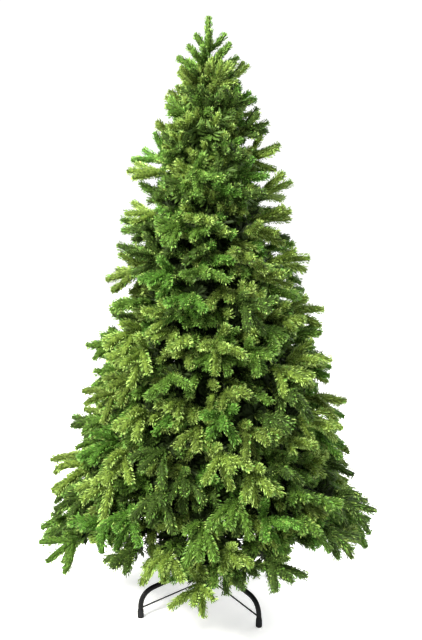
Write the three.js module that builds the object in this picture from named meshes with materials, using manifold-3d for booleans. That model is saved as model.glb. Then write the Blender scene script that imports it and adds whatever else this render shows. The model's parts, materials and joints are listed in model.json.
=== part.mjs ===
// Artificial pine tree: a steel pole clamped in a four-legged stand, six tiers of foliage masses
// seated on collars round the pole, and a leader on its top. A mass is a wire stem that opens into a
// dense front of needle sprays; every fourth spray is a toothed finger that stands out towards the
// crown's reach. Millimetres, +Z up. The origin is on the floor under the pole, and the front faces -Y.
import * as THREE from "three";
import { mergeVertices } from "three/addons/utils/BufferGeometryUtils.js";
import Module from "manifold-3d";

const wasm = await Module();
wasm.setup();
const { degToRad, lerp } = THREE.MathUtils;

// Whole tree
const TREE_HEIGHT = 2100;
const CLEARANCE = 0.3; // gap between pieces that seat on each other

// Crown outline: the tips reach a swelling cone, widest near its foot
const CROWN_FOOT = 256; // rim height of the lowest tips
const FOOT_LIFT = 50; // the crown's foot hangs this much lower in its lobes and higher between them
const FOOT_LOBES = 4; // to the front, the back and both sides
const CROWN_SHOULDER = 1965; // rim height where the tiers give way to the leader
const CROWN_REACH = 656; // from the pole, near the furthest tips
const WIDEST_HEIGHT = 262; // rim height of that reach
const CROWN_SWELL = 0.632; // 1 is a straight cone, less bulges outwards
const CROWN_WAIST = 0.36; // how strongly the outline draws in between the top and the foot

// Slope of the branches, in degrees: they droop at the foot, level out and sweep up at the top
const FOOT_DROOP = -16;
const LEVELLING = 20;
const LEVELLING_POWER = 0.6;
const UPSWEEP = 34;
const UPSWEEP_POWER = 6;

// Tiers, from the foot up
const TIER_MASSES = [6, 5, 5, 4, 4, 3];
const TIER_TURN = 43; // degrees from one tier's first mass to the next one's
const TIER_WAVE = 18; // the seams between tiers rise and fall by this much
const TIER_WAVES = 5; // times round the tree
const BOUGH_TIERS = 3; // the lower tiers carry their masses on separate wire boughs

// Sprays side by side, which fill the front of each mass's space
const SPRAY_PITCH = 68; // from one spray to the next
const SPRAY_SHIFT = 0.3; // each row of sprays is shifted against the next, in pitches either way
const SPRAY_STRAY = 0.26; // how far a spray's tip strays, in pitches either way
const SPRAY_DEPTH = 190; // from the crown's reach in to the hollows between the sprays
const HOLLOW_SHARE = 0.42; // on the short upper branches, the hollows as a share of the reach
const SPRAY_TIPS = [0.2, 0.52]; // where a plain spray's tip lies, from its hollow (0) to the reach (1)
const FINGER_TIPS = [0.55, 1.15]; // and a finger's
const FINGER_EVERY = 4; // every so many sprays is a finger
const SPRAY_RINGS = [{ place: 0.62, radius: 26 }]; // a plain spray's shoulder
const FINGER_RINGS = [ // a finger's slim neck and the needles that stand out of it
  { place: 0.28, radius: 19 },
  { place: 0.6, radius: 28 },
];
const MASS_MARGIN = 3; // from a mass's sprays to the next mass's space
const TIER_MARGIN = 2.5; // and to the next tier's
const UNDERSIDE_DROP = 52; // sprays hang this far under the lowest tier
const UNDERSIDE_PLACE = 0.3; // from the crown's hollows (0) in towards the stem (1)
const TIER_NUMBERS = 3559; // numbers that a tier keeps for its sprays
const MASS_NUMBERS = 240; // and a mass

// Wires
const BOUGH_RADIUS = 7;
const BOUGH_TIP_RADIUS = 5.5;
const BOUGH_SHARE = 0.34; // a bough ends at this share of the reach
const BOUGH_SIDES = 8;
const STEM_HALF = 3.6; // half the width of a mass's square stem
const STEM_LENGTH = 18; // bare wire between the bough or the collar and the sprays

// Leader: an upright finger over whorls of rising ones
const LEADER_LENGTH = 150;
const LEADER_WIRE = 5; // radius
const LEADER_WIRE_SIDES = 5;
const LEADER_ROOT = 20; // the wire runs this far up into the upright finger
const LEADER_SIDES = 3;
const LEADER_STRAY = { azimuth: 9, rise: 6 }; // degrees either way
const LEADER_LENGTHS = [0.82, 1.04]; // shortest and longest finger of a whorl, as shares of its length
const LEADER_WHORLS = [
  { height: 1970, fingers: 4, rise: 50, length: 104, turn: 4 },
  { height: 1918, fingers: 5, rise: 43, length: 120, turn: 36 },
  { height: 1897, fingers: 6, rise: 32, length: 142, turn: 66 },
];
const LEADER_GIRTH = 20; // radius over the longest needles
const LEADER_TEETH = [ // radius as a share of the girth, and place along the finger
  [1, 0.34],
  [0.5, 0.5],
  [0.86, 0.7],
];

// Pole, in three sections that slot together, with a collar for each tier
const POLE_SECTIONS = [
  { radius: 16, top: 800 },
  { radius: 14, top: 1350 },
  { radius: 11, top: 1890 },
];
const POLE_SIDES = 16;
const COLLAR_RIM = 8; // a collar stands out this far from the pole
const COLLAR_HEIGHT = 28;

// Stand
const SOCKET_FOOT = 27; // height of the socket's underside
const SOCKET_TOP = 165;
const SOCKET_RADIUS = 20.5;
const SOCKET_FLOOR = 4;
const LEG_COUNT = 4;
const LEG_TURN = 36; // degrees from +X to the first leg
const LEG_RADIUS = 9;
const LEG_SIDES = 8;
const LEG_STEPS = 18;
const FOOT_SPREAD = 297; // from the pole's axis to a foot
const KNEE_HEIGHT = 90; // where the leg's two straight runs would meet
const KNEE_CUT = 56; // the knee's curve starts this far from there
const HIP_HEIGHT = 124; // where the leg meets the socket
const HIP_RUN = 27; // the leg runs level for this far out of the socket
const CAP_RADIUS = 11.5;
const CAP_HEIGHT = 30;
const CAP_FLOOR = 4;
const CAP_SIDES = 12;
const TIE_WIDTH = 7;
const TIE_THICKNESS = 3;
const TIE_FOOT_HEIGHT = 36;
const TIE_HIP_HEIGHT = 62;
const BOLT_COUNT = 2;
const BOLT_TURN = 45; // degrees from the first leg to the first bolt
const BOLT_HEIGHT = 148;
const BOLT_RADIUS = 4;
const BOLT_LENGTH = 26;
const BOLT_BAR_RADIUS = 3;
const BOLT_BAR_LENGTH = 34;
const BOLT_SIDES = 8;
const BOLT_BAR_SIDES = 6;

// Materials
const NEEDLE_COLOURS = [0x66852e, 0x74813f, 0x86a045, 0x4f6a2a, 0x5c9436];
const needleMaterials = NEEDLE_COLOURS.map((color) => paint(color, 0.75, 0));
const wireMaterial = paint(0x3a4a2c, 0.6, 0.4);
const poleMaterial = paint(0x2c3a26, 0.5, 0.5);
const standMaterial = paint(0x15181b, 0.45, 0.5);
const capMaterial = paint(0x1b1d20, 0.7, 0);

const UP = new THREE.Vector3(0, 0, 1);
const tree = new THREE.Group();

function paint(color, roughness, metalness) {
  return new THREE.MeshStandardMaterial({ color, roughness, metalness });
}

function named(name, geometry, material) {
  const mesh = new THREE.Mesh(geometry, material);
  mesh.name = name;
  return mesh;
}

// Whole numbers from 0 up to a count
const span = (count) => Array.from({ length: count }, (_, i) => i);

// A repeatable number from 0 to 1 for one draw of one spray
function scatter(spray, draw) {
  const wave = Math.sin(spray * 12.9898 + draw * 78.233) * 43758.5453;
  return wave - Math.floor(wave);
}

// The same, from -1 to 1
const sway = (spray, draw) => 2 * scatter(spray, draw) - 1;

// How far the longest tips reach from the pole, by rim height
function reachAt(rim) {
  const share = Math.min(1, (TREE_HEIGHT - rim) / (TREE_HEIGHT - WIDEST_HEIGHT));
  return CROWN_REACH * share ** CROWN_SWELL * (1 - CROWN_WAIST * share * (1 - share));
}

// How far out the hollows between the sprays lie, by rim height
const hollowAt = (rim) => Math.max(reachAt(rim) - SPRAY_DEPTH, HOLLOW_SHARE * reachAt(rim));

// Slope of a branch, in degrees above level, by rim height
function riseAt(rim) {
  const share = (rim - CROWN_FOOT) / (CROWN_SHOULDER - CROWN_FOOT);
  return FOOT_DROOP + LEVELLING * share ** LEVELLING_POWER + UPSWEEP * share ** UPSWEEP_POWER;
}

// Height at the pole of a branch, by rim height
const hubHeight = (rim) => rim - reachAt(rim) * Math.tan(degToRad(riseAt(rim)));

// Rim height of the seam under a tier; half a tier more is the tier's middle
const rimOf = (level) => lerp(CROWN_FOOT, CROWN_SHOULDER, level / TIER_MASSES.length);

// A point of the crown in the frame of a mass that is turned about the pole: by its azimuth from the
// mass's middle, the rim height of its branch line and its distance from the pole along that line
function crownPoint(azimuth, turn, rim, radius) {
  const aboveFoot = Math.max(0, (rimOf(1) - rim) / (rimOf(1) - rimOf(0)));
  const lift = -FOOT_LIFT * aboveFoot * Math.cos(FOOT_LOBES * (azimuth + turn));
  const wave = TIER_WAVE * Math.sin(TIER_WAVES * (azimuth + turn));
  const height = lerp(hubHeight(rim), rim + lift + wave, radius / reachAt(rim));
  return new THREE.Vector3(radius * Math.cos(azimuth), radius * Math.sin(azimuth), height);
}

// A unit vector at an azimuth and a slope, both in degrees
function heading(azimuth, slope) {
  const a = degToRad(azimuth);
  const e = degToRad(slope);
  return new THREE.Vector3(Math.cos(e) * Math.cos(a), Math.cos(e) * Math.sin(a), Math.sin(e));
}

// A closed solid of a geometry, its shared corners merged and empty triangles left out
function solidOf(geometry) {
  const bare = geometry.clone();
  bare.deleteAttribute("normal");
  bare.deleteAttribute("uv");
  const merged = mergeVertices(bare, 1e-3);
  const corners = merged.index.array;
  const kept = [];
  for (let i = 0; i < corners.length; i += 3) {
    const [a, b, c] = corners.slice(i, i + 3);
    if (a !== b && b !== c && c !== a) kept.push(a, b, c);
  }
  const vertProperties = merged.attributes.position.array;
  return new wasm.Manifold(new wasm.Mesh({ numProp: 3, vertProperties, triVerts: new Uint32Array(kept) }));
}

// Several geometries fused into one body: sealed hollows are filled and loose scraps dropped
function fuse(geometries) {
  const whole = geometries.map(solidOf).reduce((sum, solid) => sum.add(solid));
  const largest = whole.decompose().reduce((best, body) => (body.volume() > best.volume() ? body : best));
  const mesh = largest.getMesh();
  const fused = new THREE.BufferGeometry();
  fused.setAttribute("position", new THREE.BufferAttribute(mesh.vertProperties, 3));
  fused.setIndex(new THREE.BufferAttribute(mesh.triVerts, 1));
  return fused;
}

// A geometry made along +Y, turned to start at a point and run along a direction
function alongFrom(geometry, start, direction, roll = 0) {
  const turn = new THREE.Quaternion().setFromUnitVectors(new THREE.Vector3(0, 1, 0), direction);
  return geometry.rotateY(roll).applyQuaternion(turn).translate(start.x, start.y, start.z);
}

// A straight tapering rod between two points
function rod(start, end, startRadius, endRadius, sides) {
  const run = new THREE.Vector3().subVectors(end, start);
  const length = run.length();
  const shape = new THREE.CylinderGeometry(endRadius, startRadius, length, sides).translate(0, length / 2, 0);
  return alongFrom(shape, start, run.normalize());
}

// A solid of revolution about +Z from a profile of [radius, height] pairs, listed upwards
function turned(profile, sides) {
  const points = profile.map(([radius, height]) => new THREE.Vector2(radius, height));
  return new THREE.LatheGeometry(points, sides).rotateX(Math.PI / 2);
}

// A closed surface that grows by rings of four points, each ring anticlockwise from outside
class Skin {
  points = [];
  triangles = [];

  add(point) {
    return this.points.push(point) - 1;
  }

  face(a, b, c) {
    this.triangles.push(a, b, c);
  }

  // Four faces from a ring to a point
  cone(ring, tip) {
    ring.forEach((start, i) => this.face(start, ring[(i + 1) % 4], tip));
  }

  // Eight faces from a ring to the next
  sleeve(ring, next) {
    ring.forEach((start, i) => {
      const j = (i + 1) % 4;
      this.face(start, ring[j], next[j]);
      this.face(start, next[j], next[i]);
    });
  }

  // A ring round the line from another ring's middle to a tip, each point towards its own corner
  ringAbout(ring, tip, place, radius) {
    const corners = ring.map((i) => this.points[i]);
    const middle = corners.reduce((sum, corner) => sum.add(corner), new THREE.Vector3()).divideScalar(4);
    const run = new THREE.Vector3().subVectors(tip, middle);
    const axis = run.clone().normalize();
    return corners.map((corner) => {
      const out = new THREE.Vector3().subVectors(corner, middle).projectOnPlane(axis).setLength(radius);
      return this.add(middle.clone().addScaledVector(run, place).add(out));
    });
  }

  geometry() {
    return new THREE.BufferGeometry().setFromPoints(this.points).setIndex(this.triangles);
  }
}

// The front of a mass: sprays in rows, every so many a toothed finger. Gives the hollows at its four
// edges: the lower one, the one at the greater azimuth, the upper one and the one at the lesser azimuth
function addFront(skin, tier, mass, turn) {
  const foot = rimOf(tier) + TIER_MARGIN;
  const head = rimOf(tier + 1) - TIER_MARGIN;
  const halfAngle = Math.PI / TIER_MASSES[tier];
  const columns = Math.round((2 * halfAngle * reachAt((foot + head) / 2)) / SPRAY_PITCH);
  const rows = Math.round((head - foot) / SPRAY_PITCH);
  const at = (column, row, outward) => {
    const rim = lerp(foot, head, row / rows);
    const radius = lerp(hollowAt(rim), reachAt(rim), outward);
    const edge = halfAngle - MASS_MARGIN / radius;
    const shift = (SPRAY_SHIFT * SPRAY_PITCH * Math.cos(Math.PI * row)) / reachAt(rim);
    return crownPoint(edge * ((2 * column) / columns - 1) + shift, turn, rim, radius);
  };
  const hollowRow = (row) => span(columns + 1).map((column) => skin.add(at(column, row, 0)));
  const hollows = span(rows + 1).map(hollowRow);
  for (const row of span(rows)) {
    for (const column of span(columns)) {
      const id = TIER_NUMBERS * tier + MASS_NUMBERS * mass + columns * row + column;
      const stands = (column + 2 * row + mass) % FINGER_EVERY === 0;
      const outward = lerp(...(stands ? FINGER_TIPS : SPRAY_TIPS), scatter(id, 1));
      const aside = column + 0.5 + SPRAY_STRAY * sway(id, 2);
      const up = row + 0.5 + SPRAY_STRAY * sway(id, 3);
      const tip = at(aside, up, outward);
      const [low, high] = [hollows[row], hollows[row + 1]];
      let ring = [low[column], low[column + 1], high[column + 1], high[column]];
      for (const { place, radius } of stands ? FINGER_RINGS : SPRAY_RINGS) {
        const next = skin.ringAbout(ring, tip, place, radius);
        skin.sleeve(ring, next);
        ring = next;
      }
      skin.cone(ring, skin.add(tip));
    }
  }
  const lesser = hollows.map((line) => line[0]);
  const greater = hollows.map((line) => line[columns]);
  return [hollows[0], greater, hollows[rows].toReversed(), lesser.toReversed()];
}

// The back of a mass: the edges of its front close onto the square wire stem. Under the lowest tier
// a spray hangs from each face
function addBack(skin, edges, stemStart, stemRun, hanging) {
  const aside = new THREE.Vector3(0, STEM_HALF, 0);
  const up = new THREE.Vector3().crossVectors(stemRun, aside);
  const stemRing = (centre) =>
    [[-1, -1], [1, -1], [1, 1], [-1, 1]].map(([a, u]) =>
      skin.add(centre.clone().addScaledVector(aside, a).addScaledVector(up, u)),
    );
  const inner = stemRing(stemStart.clone().addScaledVector(stemRun, STEM_LENGTH));
  const end = stemRing(stemStart);
  edges.forEach((edge, side) => {
    const nextSide = (side + 1) % 4;
    const half = Math.ceil((edge.length - 1) / 2);
    for (const i of span(edge.length - 1)) {
      const face = [edge[i + 1], edge[i], inner[i < half ? side : nextSide]];
      if (!hanging || side > 0) {
        skin.face(...face);
        continue;
      }
      const [a, b, c] = face.map((k) => skin.points[k]);
      const middle = a.clone().add(b).multiplyScalar(0.5).lerp(c, UNDERSIDE_PLACE);
      const tip = skin.add(middle.addScaledVector(UP, -UNDERSIDE_DROP));
      face.forEach((k, j) => skin.face(k, face[(j + 1) % 3], tip));
    }
    skin.face(inner[nextSide], edge[half], inner[side]);
  });
  skin.sleeve(end, inner);
  skin.face(end[3], end[2], end[1]);
  skin.face(end[3], end[1], end[0]);
}

// One mass and, on the lower tiers, the bough that carries it
function addBranch(tier, mass) {
  const rim = rimOf(tier + 0.5);
  const slope = riseAt(rim);
  const run = heading(0, slope);
  const hub = new THREE.Vector3(0, 0, hubHeight(rim));
  const onStem = (radius) => hub.clone().addScaledVector(run, radius / run.x);
  const tilt = Math.abs(Math.sin(degToRad(slope)));
  const seat = poleRadiusAt(hub.z) + COLLAR_RIM + CLEARANCE;
  const turn = degToRad(TIER_TURN * tier + (360 * mass) / TIER_MASSES[tier]);
  const label = `tier${tier + 1}_${mass + 1}`;
  const branch = new THREE.Group();
  branch.rotation.z = turn;
  tree.add(branch);

  let stemStart = onStem(seat + STEM_HALF * tilt);
  if (tier < BOUGH_TIERS) {
    const boughStart = onStem(seat + BOUGH_RADIUS * tilt);
    const boughEnd = onStem(BOUGH_SHARE * reachAt(rim));
    const bough = rod(boughStart, boughEnd, BOUGH_RADIUS, BOUGH_TIP_RADIUS, BOUGH_SIDES);
    branch.add(named(`bough_${label}`, bough, wireMaterial));
    stemStart = boughEnd.addScaledVector(run, CLEARANCE);
  }
  const skin = new Skin();
  const edges = addFront(skin, tier, mass, turn);
  addBack(skin, edges, stemStart, run, tier === 0);
  const needles = needleMaterials[(2 * tier + 3 * mass) % needleMaterials.length];
  branch.add(named(`foliage_${label}`, skin.geometry(), needles));
}

// A three-edged needle finger along a direction, with two toothed whorls; one edge points along the normal
function leaderFinger(root, direction, length, normal) {
  const teeth = LEADER_TEETH.map(([share, place]) => [share * LEADER_GIRTH, place * length]);
  const points = [[0, 0], ...teeth, [0, length]].map(([radius, height]) => new THREE.Vector2(radius, height));
  const across = new THREE.Vector3().crossVectors(direction, normal);
  const frame = new THREE.Matrix4().makeBasis(across, direction, normal).setPosition(root);
  return new THREE.LatheGeometry(points, LEADER_SIDES).applyMatrix4(frame);
}

// The leader, its wire standing on the pole's top
function addLeader() {
  const foot = UP.clone().multiplyScalar(POLE_SECTIONS.at(-1).top + CLEARANCE);
  const neck = UP.clone().multiplyScalar(TREE_HEIGHT - LEADER_LENGTH);
  const wireTop = neck.clone().addScaledVector(UP, LEADER_ROOT);
  const shapes = [
    rod(foot, wireTop, LEADER_WIRE, LEADER_WIRE, LEADER_WIRE_SIDES),
    leaderFinger(neck, UP, LEADER_LENGTH, new THREE.Vector3(0, -1, 0)),
  ];
  for (const { height, fingers, rise, length, turn } of LEADER_WHORLS) {
    for (const i of span(fingers)) {
      const azimuth = turn + (360 * i) / fingers + LEADER_STRAY.azimuth * sway(height + i, 1);
      const slope = rise + LEADER_STRAY.rise * sway(height + i, 2);
      const reach = length * lerp(...LEADER_LENGTHS, scatter(height + i, 3));
      const root = UP.clone().multiplyScalar(height);
      shapes.push(leaderFinger(root, heading(azimuth, slope), reach, heading(azimuth, slope + 90)));
    }
  }
  tree.add(named("foliage_leader", fuse(shapes), needleMaterials[0]));
}

// Radius of the pole at a height
function poleRadiusAt(height) {
  return POLE_SECTIONS.find((section) => height < section.top).radius;
}

// The pole with its collars, turned in one piece
function addPole() {
  const foot = SOCKET_FOOT + SOCKET_FLOOR + CLEARANCE;
  const collars = TIER_MASSES.map((_, tier) => hubHeight(rimOf(tier + 0.5)));
  const profile = [[0, foot]];
  let start = foot;
  for (const { radius, top } of POLE_SECTIONS) {
    profile.push([radius, start]);
    for (const height of collars.filter((z) => z > start && z < top)) {
      const [low, high] = [height - COLLAR_HEIGHT / 2, height + COLLAR_HEIGHT / 2];
      profile.push([radius, low], [radius + COLLAR_RIM, low], [radius + COLLAR_RIM, high], [radius, high]);
    }
    profile.push([radius, top]);
    start = top;
  }
  profile.push([0, start]);
  tree.add(named("trunk_pole", turned(profile, POLE_SIDES), poleMaterial));
}

// A cup that is open at its top: the outside's radius, foot and top, then the bore and its floor
function cup(radius, foot, top, bore, floor, sides) {
  return turned([[0, foot], [radius, foot], [radius, top], [bore, top], [bore, floor], [0, floor]], sides);
}

// A leg: a tube that runs level out of the socket, slopes to a rounded knee and drops into its foot cap
function legShape() {
  const hip = new THREE.Vector3(SOCKET_RADIUS + CLEARANCE, 0, HIP_HEIGHT);
  const shoulder = new THREE.Vector3(hip.x + HIP_RUN, 0, HIP_HEIGHT);
  const knee = new THREE.Vector3(FOOT_SPREAD, 0, KNEE_HEIGHT);
  const foot = new THREE.Vector3(FOOT_SPREAD, 0, CAP_FLOOR + CLEARANCE);
  const slope = new THREE.Vector3().subVectors(knee, shoulder).normalize();
  const bendStart = knee.clone().addScaledVector(slope, -KNEE_CUT);
  const bendEnd = knee.clone().addScaledVector(UP, -KNEE_CUT);
  const path = new THREE.CurvePath();
  path.add(new THREE.LineCurve3(hip, shoulder));
  path.add(new THREE.LineCurve3(shoulder, bendStart));
  path.add(new THREE.QuadraticBezierCurve3(bendStart, knee, bendEnd));
  path.add(new THREE.LineCurve3(bendEnd, foot));
  const outline = new THREE.Shape().absarc(0, 0, LEG_RADIUS, 0, 2 * Math.PI);
  const settings = { extrudePath: path, steps: LEG_STEPS, curveSegments: LEG_SIDES / 2 };
  return new THREE.ExtrudeGeometry(outline, settings);
}

// A tie: a flat bar from the lower leg to the socket
function tieShape() {
  const outer = new THREE.Vector3(FOOT_SPREAD - LEG_RADIUS - 3 * CLEARANCE, 0, TIE_FOOT_HEIGHT);
  const inner = new THREE.Vector3(SOCKET_RADIUS + 2 * CLEARANCE, 0, TIE_HIP_HEIGHT);
  const run = new THREE.Vector3().subVectors(inner, outer);
  const bar = new THREE.BoxGeometry(TIE_WIDTH, run.length(), TIE_THICKNESS).translate(0, run.length() / 2, 0);
  return alongFrom(bar, outer, run.normalize(), Math.PI / 2);
}

// A clamp bolt: a shank that points at the pole, with a cross bar to turn it by
function boltShape() {
  const start = new THREE.Vector3(SOCKET_RADIUS + CLEARANCE, 0, BOLT_HEIGHT);
  const end = start.clone().setX(start.x + BOLT_LENGTH);
  const barFoot = end.clone().add(new THREE.Vector3(-BOLT_RADIUS, 0, -BOLT_BAR_LENGTH / 2));
  const barHead = barFoot.clone().addScaledVector(UP, BOLT_BAR_LENGTH);
  const shank = rod(start, end, BOLT_RADIUS, BOLT_RADIUS, BOLT_SIDES);
  return fuse([shank, rod(barFoot, barHead, BOLT_BAR_RADIUS, BOLT_BAR_RADIUS, BOLT_BAR_SIDES)]);
}

// The stand: a socket for the pole, four bent legs with their ties and foot caps, and clamp bolts
function addStand() {
  const poleBore = POLE_SECTIONS[0].radius + CLEARANCE;
  const legBore = (LEG_RADIUS + CLEARANCE) / Math.cos(Math.PI / CAP_SIDES);
  const socketFloor = SOCKET_FOOT + SOCKET_FLOOR;
  const socket = cup(SOCKET_RADIUS, SOCKET_FOOT, SOCKET_TOP, poleBore, socketFloor, POLE_SIDES);
  tree.add(named("stand_socket", socket, standMaterial));
  for (const i of span(LEG_COUNT)) {
    const side = new THREE.Group();
    side.rotation.z = degToRad(LEG_TURN + (360 * i) / LEG_COUNT);
    side.add(named(`stand_leg_${i + 1}`, legShape(), standMaterial));
    side.add(named(`stand_tie_${i + 1}`, tieShape(), standMaterial));
    const capShape = cup(CAP_RADIUS, 0, CAP_HEIGHT, legBore, CAP_FLOOR, CAP_SIDES);
    const cap = named(`foot_cap_${i + 1}`, capShape, capMaterial);
    cap.position.x = FOOT_SPREAD;
    side.add(cap);
    tree.add(side);
  }
  for (const i of span(BOLT_COUNT)) {
    const bolt = named(`clamp_bolt_${i + 1}`, boltShape(), standMaterial);
    bolt.rotation.z = degToRad(LEG_TURN + BOLT_TURN + (360 * i) / BOLT_COUNT);
    tree.add(bolt);
  }
}

addStand();
addPole();
TIER_MASSES.forEach((masses, tier) => span(masses).forEach((mass) => addBranch(tier, mass)));
addLeader();

export default tree;
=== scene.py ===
"""Looks of an artificial pine tree on a metal stand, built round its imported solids.

Metres, +Z up, in the frame of the solids: the pole's axis is Z and the front faces -Y. The crown
repeats the solids' seeded rule spray by spray, and carries each spray on to a twig with a hand of
needle fingers that stay inside the same reach.
"""

import json
import logging
import math
from collections.abc import Sequence
from dataclasses import dataclass, field, replace
from enum import Enum, IntEnum
from typing import TypeVar

import bpy
import numpy as np
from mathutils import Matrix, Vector
from numpy.typing import NDArray


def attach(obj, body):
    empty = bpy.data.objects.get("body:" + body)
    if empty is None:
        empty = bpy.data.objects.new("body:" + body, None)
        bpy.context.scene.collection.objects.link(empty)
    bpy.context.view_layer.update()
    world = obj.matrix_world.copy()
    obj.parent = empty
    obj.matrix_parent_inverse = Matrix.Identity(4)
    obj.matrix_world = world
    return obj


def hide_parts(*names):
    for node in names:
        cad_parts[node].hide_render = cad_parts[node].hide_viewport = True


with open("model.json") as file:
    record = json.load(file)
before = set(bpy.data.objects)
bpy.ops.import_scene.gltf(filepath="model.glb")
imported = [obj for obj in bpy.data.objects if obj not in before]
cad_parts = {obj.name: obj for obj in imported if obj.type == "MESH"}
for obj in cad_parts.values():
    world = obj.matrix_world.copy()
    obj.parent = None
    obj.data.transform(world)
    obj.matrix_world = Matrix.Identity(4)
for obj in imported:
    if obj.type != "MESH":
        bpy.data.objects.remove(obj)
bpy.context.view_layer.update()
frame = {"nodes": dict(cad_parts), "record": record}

Points = NDArray[np.float64]
Numbers = NDArray[np.float64]
Rows = NDArray[np.int64]
Flags = NDArray[np.bool_]
Faces = NDArray[np.int64]
Shape = tuple[Points, Faces]
Group = TypeVar("Group")
Settings = dict[str | int, object]
Links = dict[str | int, bpy.types.NodeSocket]

MM = 0.001
UP = np.array([0.0, 0.0, 1.0])
ALONG_X = np.array([1.0, 0.0, 0.0])
STEEP = 0.8  # sine of the slope past which a direction counts as steep
TINY = 1e-12  # least length to divide by
GOLDEN_TURN = math.pi * (3 - math.sqrt(5))
# The scatter's steps by number and by draw, and its stretch, as the solids have them
NUMBER_STEP, DRAW_STEP, STRETCH = 12.9898, 78.233, 43758.5453
BODY = "root"
METAL_CREASE = 32.0  # degrees between two faces past which an edge of the stand or pole is sharp
SMOOTH = 180.0  # a crease that leaves no edge sharp
log = logging.getLogger("pine_tree")


class Tint(Enum):
    """The needle greens, each with its slot in the record."""

    LEAF = "needles_leaf"
    OLIVE = "needles_olive"
    LIME = "needles_lime"
    MOSS = "needles_moss"
    BRIGHT = "needles_bright"


class Draw(IntEnum):
    """What a scattered number is drawn for.

    Whorls and sprigs have numbers of their own, so their draws start again.
    """

    OUTWARD = 1
    ASIDE = 2
    UPWARD = 3
    GIRTH = 4
    BOW = 5
    ROLL = 6
    TINT = 8
    NEEDLE_PLACE = 11
    NEEDLE_TURN = 12
    NEEDLE_LEAN = 13
    NEEDLE_LENGTH = 14
    NEEDLE_FAN = 15
    NEEDLE_TWIST = 16
    ODD_NEEDLE = 17
    ODD_TINT = 18
    PAIR = 20
    ROOT_ASIDE = 25
    ROOT_UPWARD = 26
    TIP_ASIDE = 27
    TIP_UPWARD = 28
    SIDE_ANGLE = 30
    HANG = 41
    TUFT = 44
    SIDE_LENGTH = 80
    SIDE_FALL = 130
    SIDE_BOW = 180
    WHORL_TURN = 1
    WHORL_RISE = 2
    WHORL_LENGTH = 3
    SPRIG_RISE = 1
    SPRIG_LENGTH = 2


def scatter(number: Numbers, draw: int) -> Numbers:
    """Gives a repeatable number from 0 to 1: the fraction of a large sine.

    Args:
        number: The rows' own numbers: those of sprays, fingers, needles or tufts.
        draw: Which of a row's draws this is.

    Returns:
        One number for each row.
    """
    wave = np.sin(number * NUMBER_STEP + draw * DRAW_STEP) * STRETCH
    return wave - np.floor(wave)


def sway(number: Numbers, draw: int) -> Numbers:
    """Gives the same as scatter, from -1 to 1."""
    return 2 * scatter(number, draw) - 1


def unit(vectors: Points) -> Points:
    """Gives each vector at length 1."""
    return vectors / np.maximum(np.linalg.norm(vectors, axis=-1, keepdims=True), TINY)


def mix(low: Numbers, high: Numbers, share: Numbers) -> Numbers:
    """Gives the value at a share of the way from low to high."""
    return low + (high - low) * share


def column_of(values: Numbers) -> Points:
    """Gives a row of numbers as a column that multiplies points."""
    return np.asarray(values)[..., None]


def square_to(axis: Points) -> Points:
    """Gives a unit vector square to each axis: a level one, or one square to +X if the axis is steep."""
    helper = np.where(np.abs(axis[..., 2:]) < STEEP, UP, ALONG_X)
    return unit(np.cross(helper, axis))


def level_and_lift(forward: Points) -> tuple[Points, Points]:
    """Gives each direction's level side vector, and its lift, which is square to both."""
    level = unit(np.cross(UP, forward))
    return level, np.cross(forward, level)


def headings(azimuth: Numbers, slope: Numbers) -> Points:
    """Gives unit directions by their angle round the pole and their slope, in radians."""
    flat = np.stack([np.cos(azimuth), np.sin(azimuth)], 1) * column_of(np.cos(slope))
    return np.concatenate([flat, column_of(np.sin(slope))], 1)


def stacked(groups: Sequence[Group]) -> Group:
    """Gives several groups of rows as one group of the same kind."""
    columns = zip(*(vars(group).values() for group in groups))
    return type(groups[0])(*(np.concatenate(values) for values in columns))


def spun(corners: Points, degrees: float) -> Points:
    """Turns points about the pole's axis.

    Args:
        corners: Points in their own frame.
        degrees: Turn about +Z.

    Returns:
        The turned points.
    """
    angle = math.radians(degrees)
    c, s = math.cos(angle), math.sin(angle)
    return corners @ np.array([[c, s, 0], [-s, c, 0], [0, 0, 1]])


def ring_faces(bars: int, steps: int, sides: int) -> Faces:
    """Triangles of many bars, each a stack of rings closed by a corner at either end.

    Corner numbers run bar by bar: the rings in order, then the two end corners. Each cell of the
    grid of step and side is two triangles, and each end is a fan.

    Args:
        bars: How many bars.
        steps: Rings of a bar.
        sides: Corners of a ring.

    Returns:
        The triangles of all bars.
    """
    step, side = np.divmod(np.arange((steps - 1) * sides), sides)
    a, b = step * sides + side, step * sides + (side + 1) % sides
    walls = np.concatenate([np.stack([a, b, b + sides], 1), np.stack([a, b + sides, a + sides], 1)])
    rim = np.arange(sides)
    following = (rim + 1) % sides
    start, end, last = steps * sides, steps * sides + 1, (steps - 1) * sides
    foot = np.stack([np.full(sides, start), following, rim], 1)
    head = np.stack([np.full(sides, end), rim + last, following + last], 1)
    one = np.concatenate([walls, foot, head])
    offsets = np.arange(bars) * (steps * sides + 2)
    return (one[None] + offsets[:, None, None]).reshape(-1, 3)


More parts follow.
